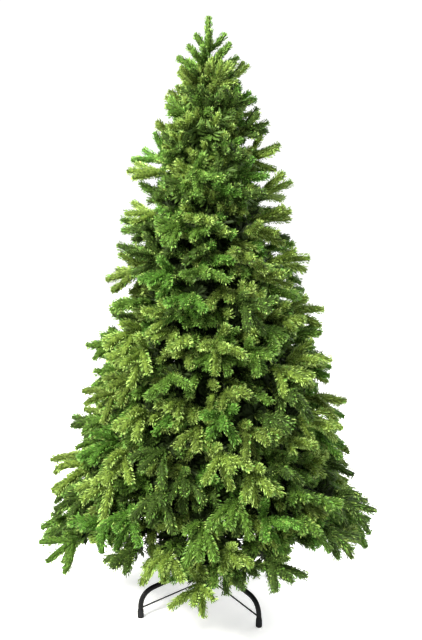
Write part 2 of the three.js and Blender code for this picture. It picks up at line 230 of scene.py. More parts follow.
def tubes(paths: Points, radii: Numbers, sides: int) -> Shape:
    """Round bars along many paths at once.

    The tangent is the slope of the path. A side vector square to the chord, made square to the
    tangent, and their cross product carry a ring of cosines and sines across each step.

    Args:
        paths: Centre lines, by bar, step and axis.
        radii: Radius by bar and step, or what spreads to that.
        sides: Corners of a ring.

    Returns:
        Corners and triangles.
    """
    bars, steps, _ = paths.shape
    tangent = unit(np.gradient(paths, axis=1))
    chord = unit(paths[:, -1] - paths[:, 0])
    side = square_to(chord)[:, None]
    side = unit(side - (side * tangent).sum(-1, keepdims=True) * tangent)
    rise = np.cross(tangent, side)
    angle = 2 * math.pi * np.arange(sides) / sides
    ring = side[:, :, None] * np.cos(angle)[:, None] + rise[:, :, None] * np.sin(angle)[:, None]
    spread = np.broadcast_to(radii, (bars, steps))
    walls = paths[:, :, None] + spread[:, :, None, None] * ring
    corners = np.concatenate([walls.reshape(bars, -1, 3), paths[:, :1], paths[:, -1:]], axis=1)
    return corners.reshape(-1, 3), ring_faces(bars, steps, sides)


def turned(profile: Points, sides: int) -> Shape:
    """A solid of revolution about Z: each profile point's radius times cosine and sine of the angle.

    Args:
        profile: Pairs of radius and height, listed so that the outside runs upwards.
        sides: Corners of a ring.

    Returns:
        Corners and triangles, closed on the axis at both ends.
    """
    radius, height = profile.T
    angle = 2 * math.pi * np.arange(sides) / sides
    x, y = np.outer(radius, np.cos(angle)), np.outer(radius, np.sin(angle))
    walls = np.stack([x, y, np.repeat(height[:, None], sides, 1)], -1).reshape(-1, 3)
    ends = np.array([[0, 0, height[0]], [0, 0, height[-1]]])
    return np.concatenate([walls, ends]), ring_faces(1, len(profile), sides)


def bowed(start: Points, middle: Points, end: Points, steps: int) -> Points:
    """Quadratic curves through start and end that lean to the middle point.

    At a share t of the way, start counts (1 - t) squared, middle 2 t (1 - t) and end t squared.

    Args:
        start: First points.
        middle: Points that the curves lean to.
        end: Last points.
        steps: Points of a curve.

    Returns:
        Points by curve, step and axis.
    """
    t = np.linspace(0, 1, steps)[None, :, None]
    return (1 - t) ** 2 * start[:, None] + 2 * t * (1 - t) * middle[:, None] + t**2 * end[:, None]


def linear(colour: str) -> tuple[float, float, float, float]:
    """Turns an sRGB hex colour to linear light: a straight line near black, and a power above it.

    Args:
        colour: A hash and six hex digits.

    Returns:
        Red, green, blue and alpha.
    """
    srgb = np.array([int(colour[i : i + 2], 16) / 255 for i in (1, 3, 5)])
    value = np.where(srgb <= 0.04045, srgb / 12.92, ((srgb + 0.055) / 1.055) ** 2.4)
    return (*value.tolist(), 1.0)


def dimmed(colour: str, shares: tuple[float, float, float]) -> str:
    """Gives an sRGB hex colour with each channel at a share of its value."""
    channels = [int(colour[i : i + 2], 16) for i in (1, 3, 5)]
    return "#" + "".join(f"{round(c * s):02x}" for c, s in zip(channels, shares))


def add_node(tree: bpy.types.NodeTree, kind: str, settings: Settings, links: Links) -> bpy.types.Node:
    """Adds a node, sets its values and links its inputs.

    Args:
        tree: The material's node tree.
        kind: The node's type.
        settings: Values by property name or, where there is no such property, by input.
        links: Output sockets by input.

    Returns:
        The node.
    """
    node = tree.nodes.new(kind)
    for key, value in settings.items():
        if isinstance(key, str) and hasattr(node, key):
            setattr(node, key, value)
        else:
            node.inputs[key].default_value = value
    for key, socket in links.items():
        tree.links.new(socket, node.inputs[key])
    return node


# Painted shade: the share of each colour, by red, green and blue, that the needles' shadow leaves on the
# winding under them: on its tufts and between
PAINTED_TUFT_SHADE, PAINTED_GAP_SHADE = (0.6, 0.64, 0.4), (0.26, 0.3, 0.12)


@dataclass(frozen=True)
class Finish:
    """A surface: two close colours in a fine cloudy pattern, with a shine and a relief of its own."""

    name: str
    colour: str
    # The pattern's darker colour; on the needle films it is partly painted shade, on the windings painted
    # shade
    shade: str
    pattern: float  # size of a patch of colour, metres
    roughness: float
    grain: float = 0.0  # spacing of the relief, metres, 0 for none
    relief: float = 0.0  # depth of the relief, metres
    metallic: float = 0.0
    ior: float = 1.5
    gloss: float = 0.5  # specular level, 0.5 for a smooth skin
    coat: float = 0.0
    glow: float = 0.0  # light that comes through from below

    def material(self) -> bpy.types.Material:
        """Makes the node material.

        Returns:
            The material, on Object coordinates.
        """
        material = bpy.data.materials.new(self.name)
        material.use_nodes = True
        tree = material.node_tree
        tree.nodes.clear()
        place = add_node(tree, "ShaderNodeTexCoord", {}, {}).outputs["Object"]
        patches = {"Scale": 1 / self.pattern, "Detail": 3.0, "Roughness": 0.6}
        cloud = add_node(tree, "ShaderNodeTexNoise", patches, {"Vector": place})
        spread = {"From Min": 0.32, "From Max": 0.68}
        share = add_node(tree, "ShaderNodeMapRange", spread, {"Value": cloud.outputs["Fac"]})
        # A Mix node of colours has its share at input 0, the colours at 6 and 7, the blend at output 2
        colours = {"data_type": "RGBA", 6: linear(self.shade), 7: linear(self.colour)}
        blend = add_node(tree, "ShaderNodeMix", colours, {0: share.outputs["Result"]})
        values = {
            "Roughness": self.roughness,
            "Metallic": self.metallic,
            "IOR": self.ior,
            "Specular IOR Level": self.gloss,
            "Coat Weight": self.coat,
            "Emission Strength": self.glow,
        }
        links = {"Base Color": blend.outputs[2]}
        if self.grain:
            fine = {"Scale": 1 / self.grain, "Detail": 2.0}
            grit = add_node(tree, "ShaderNodeTexNoise", fine, {"Vector": place})
            depth = {"Strength": 0.6, "Distance": self.relief}
            bump = add_node(tree, "ShaderNodeBump", depth, {"Height": grit.outputs["Fac"]})
            links["Normal"] = bump.outputs["Normal"]
        shader = add_node(tree, "ShaderNodeBsdfPrincipled", values, links)
        add_node(tree, "ShaderNodeOutputMaterial", {}, {"Surface": shader.outputs["BSDF"]})
        return material

    def wound(self) -> "Finish":
        """Gives the same film wound round a wire, with the shade of its own needles painted in: dimmed, matt
        and ridged.

        Its tufts are drawn coarser than the film's cuts, so that they show, and the painted shade between
        them is darker still.

        Returns:
            The finish.
        """
        # Both colours dimmed: painted shade of the needles over the winding
        colours = {"colour": dimmed(self.colour, PAINTED_TUFT_SHADE), "shade": dimmed(self.shade, PAINTED_GAP_SHADE)}
        relief = {"pattern": 7 * MM, "grain": 3 * MM, "relief": 1.5 * MM}
        return replace(self, name=f"{self.name}_wound", **colours, **relief, roughness=0.75, gloss=0.1)


# Needles cut from dyed PVC film: matt and embossed, so that little gloss is left, each tint of its own roll.
# Their darker second colour is partly the film's unevenness from cut to cut and partly painted shade
NEEDLE_FILM = {
    Tint.LEAF: Finish("film_leaf", "#658b3e", "#3f5a14", pattern=4 * MM, roughness=0.55, gloss=0.2),
    Tint.OLIVE: Finish("film_olive", "#7a904c", "#52601c", pattern=4 * MM, roughness=0.55, gloss=0.2),
    Tint.LIME: Finish("film_lime", "#93aa60", "#617c28", pattern=4 * MM, roughness=0.55, gloss=0.2),
    Tint.MOSS: Finish("film_moss", "#49642a", "#2a3d0c", pattern=4 * MM, roughness=0.55, gloss=0.2),
    Tint.BRIGHT: Finish("film_bright", "#61913e", "#3f6316", pattern=4 * MM, roughness=0.5, gloss=0.2),
}
# The film close to the pole: dark green, painted shade of the crown's deep inside
INNER_SHADE_FILM = Finish("film_inner", "#1a2a06", "#0f1802", pattern=8 * MM, roughness=0.7, gloss=0.15)
# Lacquered steel wire under green paper tape: satin, with the tape's fibres
TAPED_WIRE = Finish(
    "taped_wire", "#43542f", "#353f26", pattern=8 * MM, roughness=0.6, grain=1.5 * MM, relief=0.4 * MM
)
# Enamelled steel tube: even dark green with the faint skin of sprayed paint
GREEN_ENAMEL = Finish(
    "green_enamel",
    "#2e3d28",
    "#283522",
    pattern=60 * MM,
    roughness=0.42,
    grain=2.5 * MM,
    relief=0.15 * MM,
    coat=0.2,
)
# The same enamel in black on the stand, drawn a little coarser than life so that it shows
BLACK_ENAMEL = Finish(
    "black_enamel",
    "#0b0c0e",
    "#08090a",
    pattern=40 * MM,
    roughness=0.5,
    grain=3 * MM,
    relief=0.2 * MM,
    gloss=0.12,
)
# Moulded polyethylene: matt black with a fine mould grain
CAP_PLASTIC = Finish(
    "moulded_polyethylene",
    "#141518",
    "#0f1012",
    pattern=15 * MM,
    roughness=0.62,
    grain=0.8 * MM,
    relief=0.1 * MM,
    gloss=0.15,
)
# Bolt steel blackened with oxide: a dark metal with a dull sheen
BOLT_STEEL = Finish(
    "blackened_steel",
    "#3a3c3f",
    "#2c2e31",
    pattern=10 * MM,
    roughness=0.4,
    grain=1 * MM,
    relief=0.1 * MM,
    metallic=1.0,
)
# Sandblasted opal acrylic sheet, lit from below: the shadow on it stays pale
FLOOR_ACRYLIC = Finish("opal_acrylic", "#f9f9f8", "#f6f6f5", pattern=400 * MM, roughness=0.7, glow=0.45)


@dataclass
class Surface:
    """Corners and triangles of one piece, gathered shape by shape."""

    crease: float = SMOOTH  # edges that bend by more than this, in degrees, stay sharp
    corners: list[Points] = field(default_factory=list)
    faces: list[Faces] = field(default_factory=list)
    count: int = 0

    @staticmethod
    def of(shape: Shape, crease: float = SMOOTH) -> "Surface":
        """Gives the surface of one shape.

        Args:
            shape: Its corners and triangles.
            crease: Edges that bend by more than this, in degrees, stay sharp.

        Returns:
            The surface.
        """
        surface = Surface(crease)
        surface.add(shape)
        return surface

    def add(self, shape: Shape) -> None:
        """Adds a shape, with its triangles numbered on from the corners so far.

        Args:
            shape: Its corners and triangles.
        """
        corners, faces = shape
        self.corners.append(corners)
        self.faces.append(faces + self.count)
        self.count += len(corners)

    def mesh_object(self, name: str, finish: Finish) -> bpy.types.Object:
        """Puts the arrays into a mesh.

        Args:
            name: The object's name.
            finish: Its surface.

        Returns:
            The object, linked to the scene.
        """
        corners, faces = np.concatenate(self.corners), np.concatenate(self.faces)
        mesh = bpy.data.meshes.new(name)
        mesh.vertices.add(len(corners))
        mesh.vertices.foreach_set("co", corners.astype(np.float32).ravel())
        mesh.loops.add(faces.size)
        mesh.loops.foreach_set("vertex_index", faces.astype(np.int32).ravel())
        mesh.polygons.add(len(faces))
        mesh.polygons.foreach_set("loop_start", np.arange(0, faces.size, 3, dtype=np.int32))
        mesh.update(calc_edges=True)
        mesh.set_sharp_from_angle(angle=math.radians(self.crease))
        mesh.materials.append(finish.material())
        made = bpy.data.objects.new(name, mesh)
        bpy.context.scene.collection.objects.link(made)
        return made

    def piece(self, name: str, finish: Finish, slot: str, nodes: list[str]) -> None:
        """Makes the piece that stands for some solids, riding on the tree's one body.

        Args:
            name: The piece's name.
            finish: Its surface.
            slot: The record's material slot; not used.
            nodes: The solids that it stands for, if any.
        """
        made = self.mesh_object(name, finish)
        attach(made, BODY)
        if nodes:
            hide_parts(*nodes)
        log.info("%s: %d triangles", name, len(made.data.polygons))


@dataclass(frozen=True)
class PoleSizes:
    """The pole's sections and collars."""

    section_radii: tuple[float, ...] = (16 * MM, 14 * MM, 11 * MM)
    section_tops: tuple[float, ...] = (800 * MM, 1350 * MM, 1890 * MM)
    collar_rim: float = 8 * MM
    collar_height: float = 28 * MM

    def radius_at(self, height: float) -> float:
        """Gives the pole's radius at a height."""
        return next(r for r, top in zip(self.section_radii, self.section_tops) if height < top)


@dataclass
class Sprays:
    """The sprays of the crown, one row each."""

    number: Numbers
    tier: Numbers
    row: Rows
    stands: Flags  # long sprays that stand out
    hollow: Points  # their feet, between their neighbours
    inner: Points  # where their twigs bend
    tip: Points
    fork: Points  # where their twigs leave their limbs

    def lowest(self) -> Flags:
        """Tells which sprays are in the crown's lowest row."""
        return (self.tier == 0) & (self.row == 0)


@dataclass
class Limbs:
    """The wires of the masses: where each leaves its stem, what it leans to and where it ends."""

    number: Numbers
    start: Points
    middle: Points
    end: Points


@dataclass(frozen=True)
class MassSpace:
    """The space of one mass of the crown: columns and rows of sprays between two seams."""

    turn: float  # radians round the pole
    half_angle: float
    foot: float  # rim height of its lowest branch line
    head: float  # and of its highest
    columns: int
    rows: int


@dataclass(frozen=True)
class CrownRule:
    """The crown's outline and the seeded rule of its sprays, as the solids follow it."""

    height: float = 2100 * MM
    foot: float = 256 * MM  # rim height of the lowest branch lines
    foot_lift: float = 50 * MM  # how far the foot's lobes lift and lower them
    foot_lobes: int = 4
    shoulder: float = 1965 * MM  # rim height of the highest branch lines
    reach: float = 656 * MM  # of the longest tips, where the crown is widest
    widest: float = 262 * MM  # rim height of that place
    swell: float = 0.632  # power of the depth under the top
    waist: float = 0.36  # four times the share that the outline is drawn in by halfway
    foot_droop: float = -16.0  # slope of the lowest branches, in degrees
    levelling: float = 20.0  # degrees that the slope gains by the shoulder
    levelling_power: float = 0.6
    upsweep: float = 34.0  # degrees that it gains near the shoulder alone
    upsweep_power: float = 6.0
    tier_masses: tuple[int, ...] = (6, 5, 5, 4, 4, 3)
    tier_turn: float = 43.0  # degrees from one tier's first mass to the next one's
    tier_wave: float = 18 * MM  # how far the branch lines wave up and down
    tier_waves: int = 5
    spray_pitch: float = 68 * MM
    spray_shift: float = 0.3  # of a row to its side, in pitches
    spray_stray: float = 0.26  # of a tip, in columns and rows
    spray_depth: float = 190 * MM  # from the hollows to the reach
    hollow_share: float = 0.42  # least distance of the hollows, in reaches
    spray_tips: tuple[float, float] = (0.2, 0.52)  # of short sprays, from hollow to reach
    finger_tips: tuple[float, float] = (0.55, 1.15)  # of the long ones
    finger_every: int = 4  # one spray in so many is long
    mass_margin: float = 3 * MM  # from a mass to the seams at its sides
    tier_margin: float = 2.5 * MM  # and to the seams under and over it
    tier_numbers: int = 3559  # from one tier's first number to the next one's
    mass_numbers: int = 240  # and from one mass's to the next one's
    inner_place: float = -0.2  # where a twig bends, from the hollow outwards, in spray depths
    stem_place: float = -0.15  # where a stem aims, measured like that
    stem_share: float = 0.9  # how far it goes towards its aim
    last_fork: float = 0.85  # where the last limb leaves it
    limb_cells: int = 2  # sprays of a limb, each way
    limb_share: float = 0.66  # how far a limb goes towards the hollows
    limb_lean: float = 0.5  # how far it keeps to the branch line, in lengths
    limb_first: float = 0.25  # from the number of a mass's last spray to its first limb
    limb_numbers: int = 1000  # limbs to a whole number
    room_share: float = 0.18  # most girth of what grows inside the crown, in reaches
    bough_tiers: int = 3  # with boughs, from the foot up
    bough_share: float = 0.34  # how far out a bough goes, in reaches
    bough_radius: float = 7 * MM
    bough_tip_radius: float = 5.5 * MM
    clearance: float = 0.3 * MM
    pole: PoleSizes = PoleSizes()

    def reach_at(self, rim: Numbers) -> Numbers:
        """Gives how far the longest tips reach, by rim height.

        A power of the depth under the top bulges outwards; a waist draws it in halfway.

        Args:
            rim: Rim heights.

        Returns:
            Distances from the pole's axis.
        """
        share = np.minimum(1, (self.height - rim) / (self.height - self.widest))
        return self.reach * share**self.swell * (1 - self.waist * share * (1 - share))

    def hollow_at(self, rim: Numbers) -> Numbers:
        """Gives how far out the hollows between the sprays lie, by rim height."""
        return np.maximum(self.reach_at(rim) - self.spray_depth, self.hollow_share * self.reach_at(rim))

    def room_at(self, height: Numbers) -> Numbers:
        """Gives the most girth of what grows inside the crown, by height."""
        return self.room_share * self.reach_at(height)

    def rise_at(self, rim: Numbers) -> Numbers:
        """Gives a branch's slope, by rim height: it droops, then levels and then sweeps up.

        The slope is the foot's droop plus one power of the share of the height, and one more that
        is felt at the top alone.

        Args:
            rim: Rim heights.

        Returns:
            Degrees above level.
        """
        share = (rim - self.foot) / (self.shoulder - self.foot)
        level = self.levelling * np.maximum(share, 0) ** self.levelling_power
        return self.foot_droop + level + self.upsweep * share**self.upsweep_power

    def hub_height(self, rim: Numbers) -> Numbers:
        """Gives a branch's height at the pole, by rim height."""
        return rim - self.reach_at(rim) * np.tan(np.radians(self.rise_at(rim)))

    def rim_of(self, level: float) -> float:
        """Gives the rim height of the seam under a tier."""
        return mix(self.foot, self.shoulder, level / len(self.tier_masses))

    def turn_of(self, tier: int, mass: int) -> float:
        """Gives a mass's turn about the pole, in radians."""
        return math.radians(self.tier_turn * tier + 360 * mass / self.tier_masses[tier])

    def crown_point(self, angle: Numbers, rim: Numbers, radius: Numbers) -> Points:
        """Gives points of the crown by their angle round the pole, branch line and distance out.

        The height runs along the branch line from the hub to the rim, which the foot's lobes and
        the tiers' wave lift.

        Args:
            angle: Radians from +X.
            rim: Rim height of the branch line.
            radius: Distance from the pole's axis.

        Returns:
            The points.
        """
        near_foot = np.maximum(0, (self.rim_of(1) - rim) / (self.rim_of(1) - self.rim_of(0)))
        lift = -self.foot_lift * near_foot * np.cos(self.foot_lobes * angle)
        wave = self.tier_wave * np.sin(self.tier_waves * angle)
        height = mix(self.hub_height(rim), rim + lift + wave, radius / self.reach_at(rim))
        return np.stack([radius * np.cos(angle), radius * np.sin(angle), height], -1)

    def bough_line(self, tier: int, mass: int) -> tuple[Points, Points, Points]:
        """Gives a branch's line: its foot on the collar, its bough's end and its direction.

        The line leaves the hub at the branch's slope. The foot stands off the collar's rim by the
        bough's radius times the sine of the slope, which is how far its end face tilts in.

        Args:
            tier: The tier, from 0 at the foot.
            mass: The mass in that tier, from 0.

        Returns:
            The bough's foot, the bough's end, which is the foot on tiers with no bough, and the
            direction.
        """
        rim = self.rim_of(tier + 0.5)
        slope = math.radians(float(self.rise_at(rim)))
        turn = self.turn_of(tier, mass)
        run = np.array([math.cos(turn), math.sin(turn), math.tan(slope)])
        hub = np.array([0, 0, float(self.hub_height(rim))])
        seat = self.pole.radius_at(hub[2]) + self.pole.collar_rim + self.clearance
        start = hub + run * (seat + self.bough_radius * abs(math.sin(slope)))
        end = hub + run * self.bough_share * float(self.reach_at(rim)) if tier < self.bough_tiers else start
        return start, end, run / np.linalg.norm(run)

    def space_of(self, tier: int, mass: int) -> MassSpace:
        """Gives the space of one mass, with as many columns and rows as the sprays' pitch makes of it.

        Args:
            tier: The tier, from 0 at the foot.
            mass: The mass in that tier, from 0.

        Returns:
            The space.
        """
        foot, head = self.rim_of(tier) + self.tier_margin, self.rim_of(tier + 1) - self.tier_margin
        half_angle = math.pi / self.tier_masses[tier]
        columns = round(float(2 * half_angle * self.reach_at((foot + head) / 2) / self.spray_pitch))
        rows = round((head - foot) / self.spray_pitch)
        return MassSpace(self.turn_of(tier, mass), half_angle, foot, head, columns, rows)

    def mass_point(self, space: MassSpace, column: Numbers, row: Numbers, outward: Numbers) -> Points:
        """Gives points of a mass.

        The row gives the branch line, the outward share the distance from the pole, and the column
        the angle between the mass's two sides. Rows are shifted to either side by turns.

        Args:
            space: The mass's space.
            column: Places across it, in columns.
            row: Places up it, in rows.
            outward: Shares of the way from the hollow to the reach.

        Returns:
            The points.
        """
        rim = mix(space.foot, space.head, row / space.rows)
        radius = mix(self.hollow_at(rim), self.reach_at(rim), outward)
        edge = space.half_angle - self.mass_margin / radius
        shift = self.spray_shift * self.spray_pitch * np.cos(math.pi * row) / self.reach_at(rim)
        angle = space.turn + edge * (2 * column / space.columns - 1) + shift
        return self.crown_point(angle, rim, radius)

    def limbs(self, tier: int, mass: int, column: Numbers, row: Numbers, first: float) -> Limbs:
        """Makes a mass's limbs, which leave a stem that carries the branch line on from the bough.

        A limb goes a share of the way to the middle of its sprays' hollows, and leans along the
        branch's direction. The limbs at the sides leave the stem first. The stem is the last limb.

        Args:
            tier: The tier, from 0 at the foot.
            mass: The mass in that tier, from 0.
            column: Where the limbs' sprays lie across the mass, in columns.
            row: Where they lie up the mass, in rows.
            first: Number of the first limb.

        Returns:
            The limbs.
        """
        space = self.space_of(tier, mass)
        _, foot, run = self.bough_line(tier, mass)
        aim = self.mass_point(space, space.columns / 2, space.rows / 2, self.stem_place)
        offside = np.abs(2 * column / space.columns - 1)
        start = foot + (aim - foot) * column_of(np.clip(1 - offside, 0, self.last_fork))
        end = mix(start, self.mass_point(space, column, row, 0.0), self.limb_share)
        middle = start + run * column_of(self.limb_lean * np.linalg.norm(end - start, axis=1))
        stem_end = mix(foot, aim, self.stem_share)
        start = np.concatenate([start, foot[None]])
        middle = np.concatenate([middle, mix(foot, stem_end, 0.5)[None]])
        end = np.concatenate([end, stem_end[None]])
        return Limbs(first + np.arange(len(start)) / self.limb_numbers, start, middle, end)

    def mass(self, tier: int, mass: int) -> tuple[Sprays, Limbs]:
        """Lays out one mass: rows and columns of sprays over its space, two by two on a limb.

        The long sprays stand a few columns apart, and two columns on from row to row.

        Args:
            tier: The tier, from 0 at the foot.
            mass: The mass in that tier, from 0.

        Returns:
            Its sprays and its limbs.
        """
        space = self.space_of(tier, mass)
        row, column = np.divmod(np.arange(space.rows * space.columns), space.columns)
        first = self.tier_numbers * tier + self.mass_numbers * mass
        number = (first + space.columns * row + column).astype(float)
        stands = (column + 2 * row + mass) % self.finger_every == 0
        ranges = np.where(stands[:, None], self.finger_tips, self.spray_tips)
        outward = mix(ranges[:, 0], ranges[:, 1], scatter(number, Draw.OUTWARD))
        across, upright = column + 0.5, row + 0.5
        aside = across + self.spray_stray * sway(number, Draw.ASIDE)
        upward = upright + self.spray_stray * sway(number, Draw.UPWARD)
        cells = row // self.limb_cells * space.columns + column // self.limb_cells
        _, limb = np.unique(cells, return_inverse=True)
        members = np.bincount(limb)
        middles = np.bincount(limb, across) / members, np.bincount(limb, upright) / members
        limbs = self.limbs(tier, mass, *middles, number.max() + self.limb_first)
        sprays = Sprays(
            number=number,
            tier=np.full(len(number), float(tier)),
            row=row,
            stands=stands,
            hollow=self.mass_point(space, across, upright, 0.0),
            inner=self.mass_point(space, across, upright, self.inner_place),
            tip=self.mass_point(space, aside, upward, outward),
            fork=limbs.end[limb],
        )
        return sprays, limbs


@dataclass
class Fingers:
    """Needle fingers, one row each: a bowed wire with needles all round."""

    root: Points
    tip: Points
    bow: Points  # how far the middle of the wire stands off the chord
    girth: Numbers  # radius over the needles
    number: Numbers

    def along(self, share: Numbers, owner: Rows) -> tuple[Points, Points]:
        """Gives points and directions of the wires.

        The wire is the chord plus its bow times 4 t (1 - t).

        Args:
            share: Places along the wires, from 0 to 1.
            owner: The finger of each place.

        Returns:
            Points and unit tangents.
        """
        chord, bow, t = (self.tip - self.root)[owner], self.bow[owner], column_of(share)
        point = self.root[owner] + chord * t + bow * (4 * t * (1 - t))
        return point, unit(chord + bow * (4 - 8 * t))

    def some(self, chosen: Flags) -> "Fingers":
        """Gives the chosen fingers."""
        return Fingers(*(value[chosen] for value in vars(self).values()))


@dataclass(frozen=True)
class NeedleBrush:
    """How needles stand round a finger's wire: a bottle brush with a blunt, rounded end."""

    density: float = 1150.0  # needles to a metre of wire
    fewest: int = 8  # needles on the shortest wire
    end_needles: int = 16  # that fan out from the end of a wire
    number_step: float = 7.31  # from one finger's number to the next, in its needles' numbers
    width: float = 3.6 * MM
    root_share: float = 0.42  # how far from the wire a needle comes out of the winding, in girths
    twist: float = 45.0  # degrees from edge on to the wire to flat round it
    twist_stray: float = 50.0
    fold: float = 0.3  # depth of a needle's crease, in widths
    waist: float = 0.72  # where a needle is widest, from its root to its point
    foot_lean: float = 46.0  # degrees from the wire
    end_lean: float = 38.0
    fan: float = 62.0  # degrees that the end's needles spread to
    dome: float = 0.8  # radius of the end's dome, in girths
    stray: float = 10.0  # degrees off the lean
    turn_stray: float = 0.5  # radians off the golden turn
    lengths: tuple[float, float] = (0.9, 1.06)  # of the needles, in girths
    end_taper: float = 0.1  # how much shorter the needles get over the last stretch
    end_stretch: float = 0.2  # that stretch, in lengths of the wire
    core_share: float = 0.6  # radius of the inner needles' bulk, in girths
    core_sides: int = 6
    core_places: tuple[float, ...] = (0.0, 0.12, 0.3, 0.5, 0.7, 0.9, 1.06)  # of its rings on the wire
    core_swelling: tuple[float, ...] = (0.4, 0.9, 1.0, 1.0, 1.0, 0.95, 0.6)  # of these rings, in radii
    core_relief: tuple[float, float] = (0.6, 1.4)  # how far its tufts stand in and out, in radii

    def needles(self, fingers: Fingers) -> tuple[Points, Rows]:
        """Makes every needle as a creased lozenge of four corners.

        Needles follow the golden turn round the wire, and the last ones fan out from its end as a
        dome. A needle's direction is the tangent times the cosine of its lean plus the radial
        direction times the sine; its point lies one needle length along that, and its two side
        corners half a width to either side at the waist.

        Args:
            fingers: The fingers to cover.

        Returns:
            Corners by needle, corner and axis, and the finger of each needle.
        """
        length = np.linalg.norm(fingers.tip - fingers.root, axis=1)
        body = np.maximum(self.fewest, (self.density * length).astype(int))
        counts = body + self.end_needles
        owner = np.repeat(np.arange(len(counts)), counts)
        order = np.arange(len(owner)) - np.repeat(np.cumsum(counts) - counts, counts)
        number = fingers.number[owner] * self.number_step + order
        at_end = order >= body[owner]
        share = np.where(at_end, 1.0, (order + scatter(number, Draw.NEEDLE_PLACE)) / body[owner])
        point, tangent = fingers.along(share, owner)
        side = -square_to(tangent)
        rise = np.cross(tangent, side)
        angle = GOLDEN_TURN * order + self.turn_stray * sway(number, Draw.NEEDLE_TURN)
        radial = side * column_of(np.cos(angle)) + rise * column_of(np.sin(angle))
        fan = self.fan * np.sqrt(scatter(number, Draw.NEEDLE_FAN))
        stray = self.stray * sway(number, Draw.NEEDLE_LEAN)
        lean = np.radians(np.where(at_end, fan, mix(self.foot_lean, self.end_lean, share) + stray))
        direction = tangent * column_of(np.cos(lean)) + radial * column_of(np.sin(lean))
        reach = fingers.girth[owner] * mix(*self.lengths, scatter(number, Draw.NEEDLE_LENGTH))
        shorter = 1 - self.end_taper * np.clip(1 - (1 - share) / self.end_stretch, 0, 1)
        sunk = np.where(at_end, 0.0, self.root_share)
        point = point + radial * column_of(fingers.girth[owner] * sunk)
        reach = reach * np.where(at_end, self.dome, (shorter - sunk) / np.sin(lean))
        twist = np.radians(self.twist + self.twist_stray * sway(number, Draw.NEEDLE_TWIST))
        edge_on = radial * column_of(np.cos(lean)) - tangent * column_of(np.sin(lean))
        flat = np.cross(tangent, radial)
        across = edge_on * column_of(np.cos(twist)) + flat * column_of(np.sin(twist))
        crease = np.cross(across, direction) * self.fold * self.width
        waist = point + direction * column_of(self.waist * reach)
        half = across * (self.width / 2)
        tip = point + direction * column_of(reach)
        return np.stack([point, waist + half + crease, tip, waist - half + crease], 1), owner

    @staticmethod
    def shape(needles: Points) -> Shape:
        """Splits each needle down its crease, into two triangles.

        Args:
            needles: Corners by needle, corner and axis.

        Returns:
            Corners and triangles.
        """
        first = 4 * np.arange(len(needles))[:, None]
        faces = np.concatenate([first + [0, 1, 2], first + [0, 2, 3]])
        return needles.reshape(-1, 3), faces

    def cores(self, fingers: Fingers) -> Shape:
        """Makes the bulk of the inner needles in each finger: a blunt bar of uneven tufts.

        Each corner of a ring stands off the wire by the ring's radius times a share of its own.

        Args:
            fingers: The fingers to fill.

        Returns:
            Corners and triangles.
        """
        count, steps = len(fingers.number), len(self.core_places)
        owner = np.repeat(np.arange(count), steps)
        path = fingers.along(np.tile(self.core_places, count), owner)[0].reshape(count, steps, 3)
        radii = column_of(fingers.girth * self.core_share) * np.array(self.core_swelling)
        corners, faces = tubes(path, radii, self.core_sides)
        bars = corners.reshape(count, -1, 3)
        axis = np.repeat(path, self.core_sides, axis=1)
        place = np.arange(axis.size / 3).reshape(count, -1)
        relief = mix(*self.core_relief, scatter(place, Draw.TUFT))
        bars[:, :-2] = axis + (bars[:, :-2] - axis) * column_of(relief)
        return bars.reshape(-1, 3), faces


@dataclass(frozen=True)
class SidePair:
    """A pair of side fingers in a hand."""

    place: float  # on the middle finger's wire
    angle: float  # degrees from it
    length: float  # in lengths of it
    chance_long: float  # how often a long spray has it
    chance_short: float
    turn: float  # degrees round the middle finger


@dataclass(frozen=True)
class Whorl:
    """A whorl of rising fingers under the leader."""

    height: float
    fingers: int
    rise: float  # degrees above level
    length: float
    turn: float  # degrees round the pole


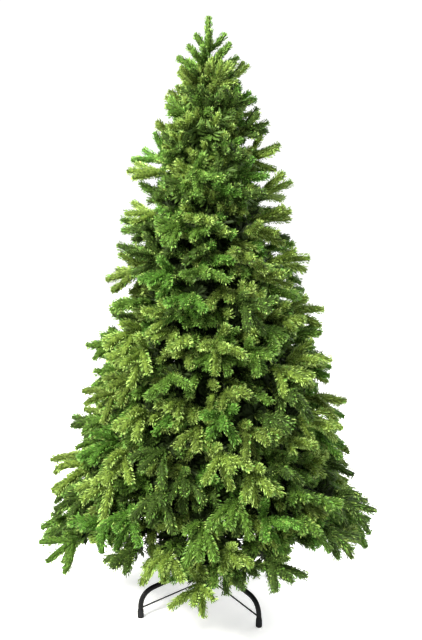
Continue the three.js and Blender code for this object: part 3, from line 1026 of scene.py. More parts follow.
@dataclass(frozen=True)
class Hands:
    """How sprays become hands: a middle finger to each spray's tip, and pairs at its sides."""

    girth: float = 20.5 * MM
    top_girth: float = 16 * MM
    girth_height: float = 1300 * MM  # fingers slim down from here
    girth_span: float = 600 * MM  # over this height
    girth_shares: tuple[float, float] = (0.9, 1.1)  # from the slimmest hand to the stoutest
    middle_shares: tuple[float, float] = (0.85, 1.3)  # middle finger of a long and a short spray, in runs
    middle_lengths: tuple[float, float] = (105 * MM, 165 * MM)
    tip_inset: float = 1.1  # from a spray's sharp tip to the wire's end, in girths
    root_stray: float = 32 * MM  # how far a hand's root strays, so that hands point many ways
    tip_stray: float = 18 * MM  # and its tip
    arch: float = 0.05  # how far a middle finger bows up on the lower tiers, in lengths
    arch_stray: float = 0.05
    roll: float = 42.0  # degrees that a hand rolls either way
    pairs: tuple[SidePair, ...] = (
        SidePair(place=0.25, angle=38.0, length=0.8, chance_long=1.0, chance_short=0.45, turn=0.0),
        SidePair(place=0.05, angle=48.0, length=0.76, chance_long=0.6, chance_short=0.1, turn=90.0),
    )
    pair_draws: int = 4  # kept for each pair
    side_girth: float = 0.94  # of a side finger, in girths of the middle one
    side_lengths: tuple[float, float] = (58 * MM, 110 * MM)
    angle_stray: float = 0.2  # of a side finger's angle
    length_stray: float = 0.15  # and of its length
    sag: float = 0.3  # how far its end sags on the lower tiers, in lengths
    least_sag: float = 0.5  # of that, before the scatter adds up to 1
    sag_bow: float = 0.35  # how far it bows up, in sags
    bow_stray: float = 0.04  # how far the bow strays, in lengths
    droop_tiers: float = 4.0  # from the crown's foot to where nothing sags or arches
    top_droop: float = -0.25  # share of the sag and arch at the top
    foot_droop: float = 0.2  # and in the lowest row, which stays clear of the floor
    number_step: float = 0.1  # from one finger of a hand to the next

    def girth_at(self, height: Numbers) -> Numbers:
        """Gives a finger's girth by height: slimmer towards the top."""
        share = np.clip((height - self.girth_height) / self.girth_span, 0, 1)
        return mix(self.girth, self.top_girth, share)

    def fingers(self, sprays: Sprays) -> Fingers:
        """Makes each spray a hand.

        The middle finger is a share of the run from the hollow to the tip, with both ends strayed
        sideways and up or down.

        Args:
            sprays: The sprays.

        Returns:
            All their fingers, the middle ones first.
        """
        number, run = sprays.number, sprays.tip - sprays.hollow
        forward = unit(run)
        level, lift = level_and_lift(forward)
        share = np.where(sprays.stands, *self.middle_shares)
        extent = np.clip(np.linalg.norm(run, axis=1) * share, *self.middle_lengths)
        root = sprays.tip - forward * column_of(extent)
        root += level * column_of(self.root_stray * sway(number, Draw.ROOT_ASIDE))
        root += lift * column_of(self.root_stray * sway(number, Draw.ROOT_UPWARD))
        end = sprays.tip + level * column_of(self.tip_stray * sway(number, Draw.TIP_ASIDE))
        end += lift * column_of(self.tip_stray * sway(number, Draw.TIP_UPWARD))
        girth = self.girth_at(sprays.tip[:, 2]) * mix(*self.girth_shares, scatter(number, Draw.GIRTH))
        tip = end - forward * column_of(self.tip_inset * girth)
        length = np.linalg.norm(tip - root, axis=1)
        _, lift = level_and_lift(unit(tip - root))
        droop = np.clip(1 - sprays.tier / self.droop_tiers, self.top_droop, 1)
        droop = np.where(sprays.lowest(), self.foot_droop, droop)
        arch = self.arch * droop + self.arch_stray * sway(number, Draw.BOW)
        middle = Fingers(root, tip, lift * column_of(length * arch), girth, number)
        return stacked([middle, *self.side_fingers(sprays, middle, droop)])

    def side_fingers(self, sprays: Sprays, middle: Fingers, droop: Numbers) -> list[Fingers]:
        """Sets pairs of fingers at the sides of the middle ones.

        A side finger's direction is the middle one's times the cosine of its angle plus the hand's
        rolled side vector times the sine. Its end sags straight down.

        Args:
            sprays: The sprays.
            middle: Their middle fingers.
            droop: Share of the sag that each spray has.

        Returns:
            The side fingers, one group for each side of each pair.
        """
        number, chord = sprays.number, middle.tip - middle.root
        length, forward = np.linalg.norm(chord, axis=1), unit(chord)
        level, lift = level_and_lift(forward)
        groups = []
        for i, pair in enumerate(self.pairs):
            roll = np.radians(self.roll * sway(number, Draw.ROLL) + pair.turn)
            side = level * column_of(np.cos(roll)) + lift * column_of(np.sin(roll))
            chance = np.where(sprays.stands, pair.chance_long, pair.chance_short)
            grows = scatter(number, Draw.PAIR + i) < chance
            base = middle.root + chord * pair.place
            for sign in (-1, 1):
                step = self.pair_draws * i + sign
                stray = self.angle_stray * sway(number, Draw.SIDE_ANGLE + step)
                angle = np.radians(pair.angle) * (1 + stray)
                heading = forward * column_of(np.cos(angle)) + side * column_of(sign * np.sin(angle))
                stray = self.length_stray * sway(number, Draw.SIDE_LENGTH + step)
                extent = np.clip(length * pair.length * (1 + stray), *self.side_lengths)
                fall = self.sag * droop * (self.least_sag + scatter(number, Draw.SIDE_FALL + step)) * extent
                end = base + heading * column_of(extent) - UP * column_of(fall)
                stray = self.bow_stray * extent * sway(number, Draw.SIDE_BOW + step)
                bow = UP * column_of(self.sag_bow * fall + stray)
                which = number + self.number_step * (2 * i + (sign > 0) + 1)
                groups.append(Fingers(base, end, bow, self.side_girth * middle.girth, which).some(grows))
        return groups


@dataclass(frozen=True)
class Leader:
    """The leader: an upright finger over whorls of rising ones, as the solid has it."""

    girth: float = 16 * MM
    length: float = 150 * MM
    blunt: float = 0.95  # from a finger's tip to its wire's end, in girths
    whorls: tuple[Whorl, ...] = (
        Whorl(height=1970 * MM, fingers=4, rise=50.0, length=104 * MM, turn=4.0),
        Whorl(height=1918 * MM, fingers=5, rise=43.0, length=120 * MM, turn=36.0),
        Whorl(height=1897 * MM, fingers=6, rise=32.0, length=142 * MM, turn=66.0),
    )
    turn_stray: float = 9.0  # degrees
    rise_stray: float = 6.0  # degrees
    lengths: tuple[float, float] = (0.82, 1.04)  # of a whorl's fingers, in its own length
    start: float = 8 * MM  # of a whorl's fingers, from the pole's axis
    number: float = 9024.0  # of the upright finger
    whorl_numbers: int = 10000  # fingers of the whorls to a whole number
    stalk_radius: float = 5 * MM
    stalk_sides: int = 8
    stalk_overlap: float = 20 * MM  # how far the stalk goes up into the leader

    def fingers(self, top: float) -> Fingers:
        """Makes the upright finger and the whorls.

        A whorl's fingers leave the pole at even turns and at one rise, and each strays a little.

        Args:
            top: Height of the crown.

        Returns:
            The fingers.
        """
        blunt = self.blunt * self.girth
        roots, tips = [np.array([[0, 0, top - self.length]])], [np.array([[0, 0, top - blunt]])]
        numbers = [np.array([self.number])]
        for whorl in self.whorls:
            order = np.arange(whorl.fingers)
            number = whorl.height / MM + order
            turn = whorl.turn + 360 * order / whorl.fingers
            azimuth = np.radians(turn + self.turn_stray * sway(number, Draw.WHORL_TURN))
            slope = np.radians(whorl.rise + self.rise_stray * sway(number, Draw.WHORL_RISE))
            reach = whorl.length * mix(*self.lengths, scatter(number, Draw.WHORL_LENGTH)) - blunt
            heading, hub = headings(azimuth, slope), UP * whorl.height
            roots.append(hub + heading * self.start)
            tips.append(hub + heading * column_of(reach))
            numbers.append(self.number + 1 + number / self.whorl_numbers)
        root, tip, number = np.concatenate(roots), np.concatenate(tips), np.concatenate(numbers)
        return Fingers(root, tip, np.zeros_like(root), np.full(len(number), self.girth), number)

    def stalk(self, foot: float, top: float) -> Shape:
        """Makes the wire from the pole up into the leader.

        Args:
            foot: Height of the wire's foot.
            top: Height of the crown.

        Returns:
            Corners and triangles.
        """
        path = np.array([[[0, 0, foot], [0, 0, top - self.length + self.stalk_overlap]]])
        return tubes(path, np.array([self.stalk_radius]), self.stalk_sides)


@dataclass(frozen=True)
class PoleSprigs:
    """Sprigs on the pole, each a golden turn on from the one below."""

    first: float  # number of the first one
    heights: tuple[float, float, float]  # from, to and step
    share: float  # their length, in reaches
    girth: float
    lengths: tuple[float, float] = (0.8, 1.1)  # from the shortest to the longest, in that length
    start: float = 12 * MM  # from the pole's axis
    rise: float = 26.0  # degrees above level
    stray: float = 12.0  # degrees
    level_heights: tuple[float, float] = (300 * MM, 620 * MM)  # over which the rise sets in

    def fingers(self, rule: CrownRule) -> Fingers:
        """Sets the sprigs, which are level near the crown's foot and rise above it.

        Args:
            rule: The crown's rule.

        Returns:
            One finger for each sprig.
        """
        height = np.arange(*self.heights)
        order = np.arange(len(height))
        number = self.first + order
        low, high = self.level_heights
        rise = self.rise * np.clip((height - low) / (high - low), 0, 1)
        slope = np.radians(rise + self.stray * sway(number, Draw.SPRIG_RISE))
        heading, axis = headings(GOLDEN_TURN * order, slope), np.outer(height, UP)
        stretch = mix(*self.lengths, scatter(number, Draw.SPRIG_LENGTH))
        reach = self.share * rule.reach_at(height) * stretch
        root, tip = axis + heading * self.start, axis + heading * column_of(reach)
        girth = np.minimum(self.girth, rule.room_at(height))
        return Fingers(root, tip, np.zeros_like(root), girth, number)


@dataclass(frozen=True)
class Underside:
    """Fingers that hang under the lowest row of sprays."""

    girth: float = 20.5 * MM
    length: float = 70 * MM
    drop: float = 52 * MM
    drops: tuple[float, float] = (0.4, 1.0)  # from the highest tip to the lowest, in drops
    bow: float = 10 * MM
    places: tuple[float, ...] = (0.7, 0.3)  # from the fork of the twigs out to the hollows
    first: float = 0.77  # from a spray's number to its first hanging finger's
    number_step: float = 0.1

    def fingers(self, sprays: Sprays) -> Fingers:
        """Hangs the fingers: each goes out level by its length and down by its drop.

        Args:
            sprays: All sprays.

        Returns:
            The hanging fingers.
        """
        lowest = sprays.lowest()
        fork, hollow, number = sprays.fork[lowest], sprays.hollow[lowest], sprays.number[lowest]
        outward = unit((hollow - fork) * [1, 1, 0])
        girth = np.full(len(number), self.girth)
        rings = []
        for i, place in enumerate(self.places):
            drop = self.drop * mix(*self.drops, scatter(number, Draw.HANG + i))
            root = mix(fork, hollow, place)
            tip = root + outward * self.length - UP * column_of(drop)
            which = number + self.first + self.number_step * i
            rings.append(Fingers(root, tip, outward * self.bow, girth, which))
        return stacked(rings)


@dataclass(frozen=True)
class Wiring:
    """The limbs and twigs inside the crown, and the garlands of needles along them."""

    limb_radii: tuple[float, float] = (4 * MM, 2.4 * MM)
    limb_steps: int = 7
    limb_sides: int = 6
    limb_girth: float = 52 * MM  # over the needles
    twig_radii: tuple[float, float] = (2.2 * MM, 1.4 * MM)
    twig_steps: int = 5
    twig_sides: int = 4
    twig_girth: float = 46 * MM
    twig_number: float = 0.55  # from a spray's number to its twig's
    stout_share: float = 0.5  # most girth of a garland, in its own lengths
    garland_steps: int = 9

    def wires(self, limbs: Limbs, sprays: Sprays, roots: Points) -> list[Shape]:
        """Makes the wires, which taper from foot to end.

        Args:
            limbs: All limbs.
            sprays: All sprays.
            roots: Where the sprays' hands start.

        Returns:
            Corners and triangles of the limbs, and of the twigs.
        """
        limb_paths = bowed(limbs.start, limbs.middle, limbs.end, self.limb_steps)
        limb_taper = np.linspace(*self.limb_radii, self.limb_steps)
        twig_paths = bowed(sprays.fork, sprays.inner, roots, self.twig_steps)
        twig_taper = np.linspace(*self.twig_radii, self.twig_steps)
        return [
            tubes(limb_paths, limb_taper, self.limb_sides),
            tubes(twig_paths, twig_taper, self.twig_sides),
        ]

    def slimmed(self, girth: float, root: Points, tip: Points, rule: CrownRule) -> Numbers:
        """Gives a garland's girth, as far as its length and the crown's room at its tip allow.

        Args:
            girth: The full girth.
            root: Where the garlands start.
            tip: Where they end.
            rule: The crown's rule.

        Returns:
            Radius over their needles.
        """
        by_length = self.stout_share * np.linalg.norm(tip - root, axis=1)
        return np.minimum(np.minimum(girth, by_length), rule.room_at(tip[:, 2]))

    def garlands(self, limbs: Limbs, sprays: Sprays, roots: Points, rule: CrownRule) -> list[Fingers]:
        """Covers the limbs and twigs with needles.

        The bow of a quadratic curve's middle is a quarter of twice its lean point less its ends. A
        limb's garland leaves out the first of eight stretches, so its middle lies in the fifth.

        Args:
            limbs: All limbs.
            sprays: All sprays.
            roots: Where the sprays' hands start.
            rule: The crown's rule.

        Returns:
            One long finger for each limb, and for each twig.
        """
        path = bowed(limbs.start, limbs.middle, limbs.end, self.garland_steps)
        start, end, halfway = path[:, 1], path[:, -1], self.garland_steps // 2
        bow = (path[:, halfway] + path[:, halfway + 1] - start - end) / 2
        girth = self.slimmed(self.limb_girth, start, end, rule)
        on_limbs = Fingers(start, end, bow, girth, limbs.number)
        bow = (2 * sprays.inner - sprays.fork - roots) / 4
        girth = self.slimmed(self.twig_girth, sprays.fork, roots, rule)
        return [on_limbs, Fingers(sprays.fork, roots, bow, girth, sprays.number + self.twig_number)]


@dataclass
class Foliage:
    """The crown: limbs and twigs from the boughs, and hands of needle fingers on them."""

    rule: CrownRule
    brush: NeedleBrush = NeedleBrush()
    inner_brush: NeedleBrush = NeedleBrush(
        density=760.0, end_needles=0, width=10 * MM, root_share=0.0, twist=90.0, foot_lean=80.0, end_lean=62.0
    )
    hands: Hands = Hands()
    leader: Leader = Leader()
    underside: Underside = Underside()
    wiring: Wiring = Wiring()
    sprigs: PoleSprigs = PoleSprigs(  # on the upper pole, where the crown is thin
        first=9124.0, heights=(1380 * MM, 1900 * MM, 13 * MM), share=0.62, girth=16 * MM
    )
    fillers: PoleSprigs = PoleSprigs(  # dark ones all the way up, in the inside's painted shade
        first=9324.0, heights=(290 * MM, 1820 * MM, 9 * MM), share=0.5, girth=58 * MM
    )
    tint_shares: tuple[float, ...] = (0.28, 0.24, 0.2, 0.16, 0.12)
    odd_needles: float = 0.3  # share of a hand's needles that take another tint
    light_height: float = 1450 * MM  # above this the needles inside the crown take the moss film, not the painted shade of the inner film

    def layout(self) -> tuple[Sprays, Limbs]:
        """Lays out all masses, tier by tier.

        Returns:
            All sprays and all limbs.
        """
        masses = [
            self.rule.mass(tier, mass)
            for tier, count in enumerate(self.rule.tier_masses)
            for mass in range(count)
        ]
        sprays, limbs = zip(*masses)
        return stacked(sprays), stacked(limbs)

    def tints(self, fingers: Fingers, owner: Rows) -> tuple[Rows, Rows]:
        """Deals the tints: one to a hand, and another to some of its needles.

        Args:
            fingers: All fingers.
            owner: The finger of each needle.

        Returns:
            The tint's place among the tints, for each finger and for each needle.
        """
        draw = scatter(np.floor(fingers.number), Draw.TINT)
        hand = np.searchsorted(np.cumsum(self.tint_shares)[:-1], draw)
        number = np.arange(len(owner), dtype=float)
        step = 1 + (scatter(number, Draw.ODD_TINT) * (len(Tint) - 1)).astype(int)
        odd = scatter(number, Draw.ODD_NEEDLE) < self.odd_needles
        return hand, (hand[owner] + np.where(odd, step, 0)) % len(Tint)

    def build_fingers(self, fingers: Fingers) -> None:
        """Builds each tint's needles, which stand for the masses of that tint, and their windings.

        Args:
            fingers: All fingers.
        """
        slots = {part["node"]: part["material_slot"] for part in frame["record"]["subparts"]}
        masses = [node for node in frame["nodes"] if node.startswith("foliage")]
        needles, owner = self.brush.needles(fingers)
        finger_tints, needle_tints = self.tints(fingers, owner)
        for i, (tint, film) in enumerate(NEEDLE_FILM.items()):
            slot = tint.value
            stood_for = [node for node in masses if slots[node] == slot]
            covering = Surface.of(self.brush.shape(needles[needle_tints == i]))
            covering.piece(slot, film, slot, stood_for)
            winding = Surface.of(self.brush.cores(fingers.some(finger_tints == i)))
            # The windings carry their tint's film with the needles' shade painted in
            winding.piece(slot.replace("needles", "wound"), film.wound(), slot, [])

    def build_inside(self, garlands: Fingers) -> None:
        """Builds the needles inside the crown: dark ones, whose colour paints the shade inside it, and
        lighter ones towards the top.

        Args:
            garlands: The fingers inside the crown.
        """
        # Below this height the inside's needles are painted dark as shade; above it they take the moss film
        light = garlands.tip[:, 2] > self.light_height
        for name, film, chosen in (
            ("inner_needles", INNER_SHADE_FILM, ~light),
            ("upper_needles", NEEDLE_FILM[Tint.MOSS], light),
        ):
            needles, _ = self.inner_brush.needles(garlands.some(chosen))
            Surface.of(self.inner_brush.shape(needles)).piece(name, film, Tint.MOSS.value, [])

    def build(self) -> None:
        """Builds and dresses the crown's pieces."""
        rule = self.rule
        sprays, limbs = self.layout()
        hands = self.hands.fingers(sprays)
        leader = self.leader.fingers(rule.height)
        fingers = stacked([hands, leader, self.sprigs.fingers(rule), self.underside.fingers(sprays)])
        counts = len(sprays.number), len(limbs.number), len(fingers.number)
        log.info("%d sprays, %d limbs, %d fingers", *counts)
        self.build_fingers(fingers)
        roots = hands.root[: len(sprays.number)]
        garlands = self.wiring.garlands(limbs, sprays, roots, rule)
        self.build_inside(stacked([*garlands, self.fillers.fingers(rule)]))
        twigs = Surface()
        stalk = self.leader.stalk(rule.pole.section_tops[-1] + rule.clearance, rule.height)
        for shape in (*self.wiring.wires(limbs, sprays, roots), stalk):
            twigs.add(shape)
        twigs.piece("twigs", TAPED_WIRE, "branch_wire", [])


@dataclass
class Boughs:
    """The lower tiers' boughs: tapering wires wound with tape, whose edge makes a spiral ridge."""

    rule: CrownRule
    wrap: float = 9 * MM  # from one turn of the tape to the next
    ridge: float = 0.7 * MM
    sides: int = 12
    step: float = 2.5 * MM

    def wound(self, start: Points, end: Points) -> Shape:
        """Makes one bough: a tapering tube whose radius rises along each turn of the tape and drops.

        Args:
            start: The bough's foot.
            end: Its tip.

        Returns:
            Corners and triangles.
        """
        length = float(np.linalg.norm(end - start))
        steps = max(2, round(length / self.step))
        share = np.linspace(0, 1, steps)
        path = (start + (end - start) * column_of(share))[None]
        radius = mix(self.rule.bough_radius, self.rule.bough_tip_radius, share) - self.ridge
        corners, faces = tubes(path, radius[None], self.sides)
        angle = np.arange(self.sides) / self.sides
        turns = (column_of(share * length / self.wrap) - angle) % 1
        walls = corners[:-2].reshape(steps, self.sides, 3)
        outward = unit(walls - path[0][:, None])
        corners[:-2] = (walls + outward * column_of(self.ridge * turns)).reshape(-1, 3)
        return corners, faces

    def build(self) -> None:
        """Builds and dresses every bough."""
        for tier in range(self.rule.bough_tiers):
            for mass in range(self.rule.tier_masses[tier]):
                start, end, _ = self.rule.bough_line(tier, mass)
                label = f"tier{tier + 1}_{mass + 1}"
                wire = Surface.of(self.wound(start, end))
                wire.piece(f"wound_bough_{label}", TAPED_WIRE, "branch_wire", [f"bough_{label}"])


@dataclass
class Pole:
    """The pole: three tubes that slot together, with a grooved collar at each tier."""

    rule: CrownRule
    foot: float = 31.3 * MM  # of the pole, in the socket
    bead: float = 1.5 * MM  # radius of a rolled edge
    mouth: float = 4.5 * MM  # length of a tube's rolled end
    band: float = 6 * MM  # height of a collar's rims
    groove: float = 6 * MM  # depth of the groove between them
    sides: int = 40

    def profile(self) -> Points:
        """Gives the turned outline: tubes with rolled ends, and collars with rounded rims.

        Returns:
            Pairs of radius and height.
        """
        sizes, bead, band = self.rule.pole, self.bead, self.band
        tiers = range(len(self.rule.tier_masses))
        hubs = [float(self.rule.hub_height(self.rule.rim_of(tier + 0.5))) for tier in tiers]
        outline = [(0, self.foot)]
        start = self.foot
        for radius, top in zip(sizes.section_radii, sizes.section_tops):
            outline += [(radius - bead, start), (radius, start + bead)]
            for hub in (z for z in hubs if start < z < top):
                low, high = hub - sizes.collar_height / 2, hub + sizes.collar_height / 2
                rim = radius + sizes.collar_rim
                neck = rim - self.groove
                outline += [(radius, low), (rim - bead, low), (rim, low + bead)]
                outline += [(rim, low + band), (neck, low + band + bead)]
                outline += [(neck, high - band - bead), (rim, high - band)]
                outline += [(rim, high - bead), (rim - bead, high), (radius, high)]
            outline += [(radius, top - self.mouth), (radius - bead, top)]
            start = top
        return np.array([*outline, (0, start)])

    def build(self) -> None:
        """Builds and dresses the pole."""
        tube = Surface.of(turned(self.profile(), self.sides), METAL_CREASE)
        tube.piece("slotted_pole", GREEN_ENAMEL, "pole_steel", ["trunk_pole"])


@dataclass
class Stand:
    """The stand: a socket with clamp bolts, and bent legs with ties and foot caps."""

    leg_count: int = 4
    leg_turn: float = 36.0  # degrees round the pole to the first leg
    leg_radius: float = 9 * MM
    foot_spread: float = 297 * MM  # from the pole's axis to a foot
    knee_height: float = 90 * MM
    knee_cut: float = 56 * MM  # from the knee's corner to either end of its bend
    hip_height: float = 124 * MM
    hip_run: float = 27 * MM  # how far a leg goes out level
    leg_stretches: tuple[tuple[float, float, int], ...] = (  # from, to and points, clear of the bends
        (0.0, 0.8, 5),  # level
        (0.04, 0.95, 14),  # sloping
        (0.1, 1.0, 6),  # upright
    )
    knee_steps: int = 16
    weld_flare: float = 0.22  # how much stouter a leg is at its weld
    weld_length: float = 3 * MM
    socket_radius: float = 20.5 * MM
    socket_foot: float = 27 * MM
    socket_top: float = 165 * MM
    socket_bore: float = 16.3 * MM
    socket_floor: float = 31 * MM  # height of the bore's floor
    socket_sides: int = 40
    foot_round: float = 2 * MM  # radius round the foot of the socket and the caps
    foot_chord: float = 0.6 * MM  # how far the middle of that round lies in from the corner
    groove_depth: float = 0.7 * MM
    groove_drops: tuple[float, float, float, float] = (8 * MM, 7 * MM, 6 * MM, 5 * MM)  # under the rim
    rim_round: tuple[float, float] = (1.2 * MM, 1.5 * MM)  # of the socket, in and down
    mouth_round: tuple[float, float] = (0.8 * MM, 1 * MM)  # of its bore, out and down
    cap_radius: float = 11.5 * MM
    cap_height: float = 30 * MM
    cap_floor: float = 4 * MM
    cap_sides: int = 32
    rib_feet: tuple[float, float] = (0.34, 0.6)  # in heights of the cap
    rib_slope: float = 0.06  # height of a rib's edge, in heights of the cap
    rib_height: float = 0.2  # of a whole rib, measured like that
    rib_depth: float = 0.8 * MM
    cap_rim: float = 1 * MM  # height of the bevel round its mouth
    tie_width: float = 7 * MM
    tie_thickness: float = 3 * MM
    tie_foot: float = 36 * MM  # height of a tie on its leg
    tie_hip: float = 62 * MM  # and on the socket
    tie_power: float = 0.5  # of the superellipse: 1 for round, 0 for square
    tie_steps: int = 24
    tie_sides: int = 16
    bolt_count: int = 2
    bolt_turn: float = 45.0  # degrees from the first leg to the first bolt
    bolt_height: float = 148 * MM
    bolt_radius: float = 4 * MM
    bolt_length: float = 26 * MM
    bolt_steps: int = 72
    bolt_sides: int = 16
    bar_radius: float = 3 * MM
    bar_length: float = 34 * MM
    bar_steps: int = 21
    bar_power: int = 12  # the higher, the blunter the bar's ends
    bar_end: float = 0.02  # section left at its very ends
    thread: float = 1.5 * MM  # pitch
    thread_depth: float = 0.8 * MM
    clearance: float = 0.3 * MM
    tube_sides: int = 28

    def leg_path(self) -> Points:
        """Gives a leg's centre line: level, sloping, a rounded knee, then straight down.

        Returns:
            Points in the leg's own frame, which has the leg along +X.
        """
        hip = np.array([self.socket_radius + self.clearance, 0, self.hip_height])
        shoulder = hip + [self.hip_run, 0, 0]
        knee = np.array([self.foot_spread, 0, self.knee_height])
        foot = np.array([self.foot_spread, 0, self.cap_floor + self.clearance])
        bend_start = knee - unit(knee - shoulder) * self.knee_cut
        bend_end = knee - UP * self.knee_cut
        level, slope, drop = (np.linspace(*stretch)[:, None] for stretch in self.leg_stretches)
        bend = bowed(bend_start[None], knee[None], bend_end[None], self.knee_steps)[0]
        upper = [mix(hip, shoulder, level), mix(shoulder, bend_start, slope)]
        return np.concatenate([*upper, bend, mix(bend_end, foot, drop)])

    def leg(self) -> Shape:
        """Makes one leg, flared into the weld at its hip: the flare fades as an exponential.

        Returns:
            Corners and triangles in the leg's own frame.
        """
        path = self.leg_path()
        out = np.linalg.norm(path - path[0], axis=1)
        radii = self.leg_radius * (1 + self.weld_flare * np.exp(-out / self.weld_length))
        return tubes(path[None], radii[None], self.tube_sides)

    def tie(self) -> Shape:
        """Makes one tie: a flat bar of superelliptic section from the lower leg to the socket.

        The section is a circle whose width and height are raised to a power, which squares it.

        Returns:
            Corners and triangles in the leg's own frame.
        """
        outer = np.array([self.foot_spread - self.leg_radius - 3 * self.clearance, 0, self.tie_foot])
        inner = np.array([self.socket_radius + 2 * self.clearance, 0, self.tie_hip])
        path = mix(outer, inner, np.linspace(0, 1, self.tie_steps)[:, None])
        corners, faces = tubes(path[None], np.ones((1, self.tie_steps)), self.tie_sides)
        walls = corners[:-2].reshape(self.tie_steps, self.tie_sides, 3) - path[:, None]
        across = np.array([0, 1.0, 0])
        rise = unit(np.cross(inner - outer, across))
        flat, tall = walls @ across, walls @ rise
        wide = np.sign(flat) * np.abs(flat) ** self.tie_power * self.tie_width / 2
        thin = np.sign(tall) * np.abs(tall) ** self.tie_power * self.tie_thickness / 2
        bar = path[:, None] + column_of(wide) * across + column_of(thin) * rise
        corners[:-2] = bar.reshape(-1, 3)
        return corners, faces

    def rounded_foot(self, radius: float, height: float) -> list[tuple[float, float]]:
        """Gives the start of a turned outline: a flat underside with a rounded edge.

        Args:
            radius: Outer radius.
            height: Height of the underside.

        Returns:
            Pairs of radius and height.
        """
        far, near = self.foot_round, self.foot_chord
        edge = [(radius - far, height), (radius - near, height + near), (radius, height + far)]
        return [(0, height), *edge]

    def cap(self) -> Shape:
        """Makes one foot cap: a cup with a rounded sole and two grip ribs.

        Returns:
            Corners and triangles in the leg's own frame.
        """
        crest, top, bore = self.cap_radius, self.cap_height, self.leg_radius + self.clearance
        valley, slope = crest - self.rib_depth, self.rib_slope
        outline = [*self.rounded_foot(crest, 0), (crest, (self.rib_feet[0] - slope) * top)]
        for foot in self.rib_feet:
            head = foot + self.rib_height
            outline += [(valley, foot * top), (crest, (foot + slope) * top)]
            outline += [(crest, (head - slope) * top), (valley, head * top)]
        outline += [(valley, top - self.cap_rim), (valley - self.rib_depth, top), (bore, top)]
        outline += [(bore, self.cap_floor), (0, self.cap_floor)]
        corners, faces = turned(np.array(outline), self.cap_sides)
        return corners + [self.foot_spread, 0, 0], faces

    def socket(self) -> Shape:
        """Makes the socket: a cup with a groove under its rolled rim.

        Returns:
            Corners and triangles.
        """
        wall, top, bore = self.socket_radius, self.socket_top, self.socket_bore
        valley = wall - self.groove_depth
        groove = [top - drop for drop in self.groove_drops]
        outline = [*self.rounded_foot(wall, self.socket_foot)]
        outline += zip((wall, valley, valley, wall), groove)
        inward, down = self.rim_round
        outline += [(wall, top - down), (wall - inward, top)]
        outward, down = self.mouth_round
        outline += [(bore + outward, top), (bore, top - down)]
        outline += [(bore, self.socket_floor), (0, self.socket_floor)]
        return turned(np.array(outline), self.socket_sides)

    def bolt(self) -> Surface:
        """Makes one clamp bolt: a threaded shank with a cross bar of rounded ends.

        The shank's radius falls by a triangle wave of the distance over the thread's pitch less the
        angle, which winds the thread. The bar's radius is a root of 1 less a high power of the place.

        Returns:
            The bolt's surface in its own frame, which has the shank along +X.
        """
        surface = Surface(METAL_CREASE)
        steps, sides = self.bolt_steps, self.bolt_sides
        share = np.linspace(0, 1, steps)
        start = np.array([self.socket_radius + self.clearance, 0, self.bolt_height])
        path = start + column_of(share * self.bolt_length) * [1, 0, 0]
        corners, faces = tubes(path[None], np.full((1, steps), self.bolt_radius), sides)
        wave = (column_of(share * self.bolt_length / self.thread) - np.arange(sides) / sides) % 1
        depth = self.thread_depth * np.abs(2 * wave - 1)
        walls = corners[:-2].reshape(steps, sides, 3)
        inward = unit(path[:, None] - walls)
        corners[:-2] = (walls + inward * column_of(depth)).reshape(-1, 3)
        surface.add((corners, faces))
        middle = start + [self.bolt_length - self.bolt_radius, 0, 0]
        place = np.linspace(-1, 1, self.bar_steps)
        bar = middle + column_of(place * self.bar_length / 2) * UP
        ends = np.sqrt(np.clip(1 - np.abs(place) ** self.bar_power, self.bar_end, 1))
        surface.add(tubes(bar[None], (self.bar_radius * ends)[None], sides))
        return surface

    def build(self) -> None:
        """Builds and dresses the stand's pieces."""
        socket = Surface.of(self.socket(), METAL_CREASE)
        socket.piece("pole_socket", BLACK_ENAMEL, "stand_steel", ["stand_socket"])
        shapes = {
            "bent_leg": (self.leg(), BLACK_ENAMEL, "stand_steel", "stand_leg"),
            "leg_tie": (self.tie(), BLACK_ENAMEL, "stand_steel", "stand_tie"),
            "leg_cap": (self.cap(), CAP_PLASTIC, "foot_plastic", "foot_cap"),
        }
        for i in range(self.leg_count):
            for name, ((corners, faces), finish, slot, node) in shapes.items():
                turn = self.leg_turn + 360 * i / self.leg_count
                surface = Surface.of((spun(corners, turn), faces), METAL_CREASE)
                surface.piece(f"{name}_{i + 1}", finish, slot, [f"{node}_{i + 1}"])
        for i in range(self.bolt_count):
            bolt = self.bolt()
            turn = self.leg_turn + self.bolt_turn + 360 * i / self.bolt_count
            bolt.corners = [spun(corners, turn) for corners in bolt.corners]
            bolt.piece(f"thread_bolt_{i + 1}", BOLT_STEEL, "stand_steel", [f"clamp_bolt_{i + 1}"])


@dataclass(frozen=True)
class SoftBox:
    """A square soft light."""

    name: str
    place: tuple[float, float, float]
    size: float
    power: float
    colour: str = "#ffffff"

    def add(self, target: Points) -> None:
        """Hangs the light.

        Args:
            target: The point that it is turned to.
        """
        data = bpy.data.lights.new(self.name, "AREA")
        data.size = self.size
        data.energy = self.power
        data.color = linear(self.colour)[:3]
        lamp = bpy.data.objects.new(self.name, data)
        lamp.location = self.place
        away = Vector(np.array(self.place) - target)
        lamp.rotation_euler = away.to_track_quat("Z", "Y").to_euler()
        bpy.context.scene.collection.objects.link(lamp)


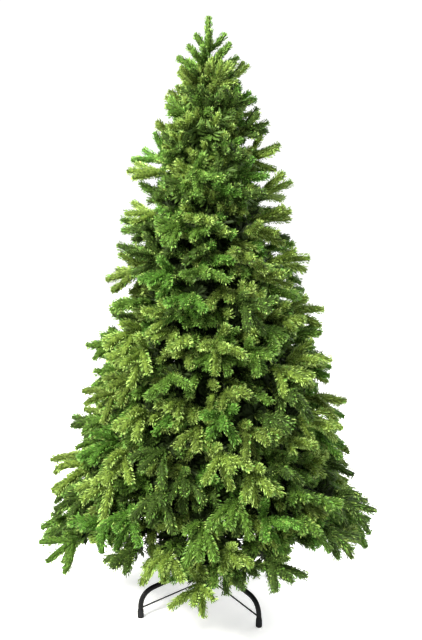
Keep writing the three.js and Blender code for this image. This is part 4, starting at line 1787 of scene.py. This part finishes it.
@dataclass
class Studio:
    """A pale floor under a white sky, soft boxes, and the camera of the photograph."""

    camera_place: tuple[float, float, float] = (0.0088, -2.9, 1.4037)
    camera_pitch: float = 7.145  # degrees down
    focal_pixels: float = 812.1
    frame_pixels: float = 640.0  # the frame's long side
    sensor: float = 36.0  # millimetres, as the lens has them
    floor_radius: float = 14.0
    floor_depth: float = 10 * MM
    floor_sides: int = 96
    sky: float = 1.08  # brightness of the sky
    boxes: tuple[SoftBox, ...] = (
        SoftBox("key_box", (-2.3, -2.4, 3.7), size=1.4, power=920.0, colour="#fffaf2"),
        SoftBox("back_box", (2.9, 1.9, 3.0), size=2.4, power=260.0),
    )
    target: tuple[float, float, float] = (0.0, 0.0, 1.4)  # that the boxes are turned to

    def add_floor(self) -> None:
        """Lays the floor, a wide flat disc."""
        radius, depth = self.floor_radius, self.floor_depth
        outline = np.array([(0, -depth), (radius, -depth), (radius, 0), (0, 0)])
        sheet = Surface.of(turned(outline, self.floor_sides))
        floor = sheet.mesh_object("studio_floor", FLOOR_ACRYLIC)
        floor.data.shade_flat()

    def add_sky(self) -> None:
        """Sets an even white sky."""
        world = bpy.data.worlds.new("white_sky")
        world.use_nodes = True
        background = world.node_tree.nodes["Background"]
        background.inputs["Color"].default_value = (1, 1, 1, 1)
        background.inputs["Strength"].default_value = self.sky
        bpy.context.scene.world = world

    def add_camera(self) -> None:
        """Places the camera, level from side to side and pitched down."""
        data = bpy.data.cameras.new("photo_camera")
        data.sensor_width = self.sensor
        data.lens = self.focal_pixels * self.sensor / self.frame_pixels
        camera = bpy.data.objects.new("photo_camera", data)
        camera.location = self.camera_place
        camera.rotation_euler = (math.radians(90 - self.camera_pitch), 0, 0)
        bpy.context.scene.collection.objects.link(camera)
        bpy.context.scene.camera = camera

    def build(self) -> None:
        """Builds the studio."""
        self.add_camera()
        self.add_floor()
        self.add_sky()
        for box in self.boxes:
            box.add(np.array(self.target))
        bpy.context.scene.view_settings.view_transform = "Standard"


def main() -> None:
    """Builds the studio and the tree."""
    logging.basicConfig(level=logging.INFO, format="%(name)s: %(message)s")
    rule = CrownRule()
    Studio().build()
    Stand().build()
    Pole(rule).build()
    Boughs(rule).build()
    Foliage(rule).build()


if __name__ == "__main__":
    main()
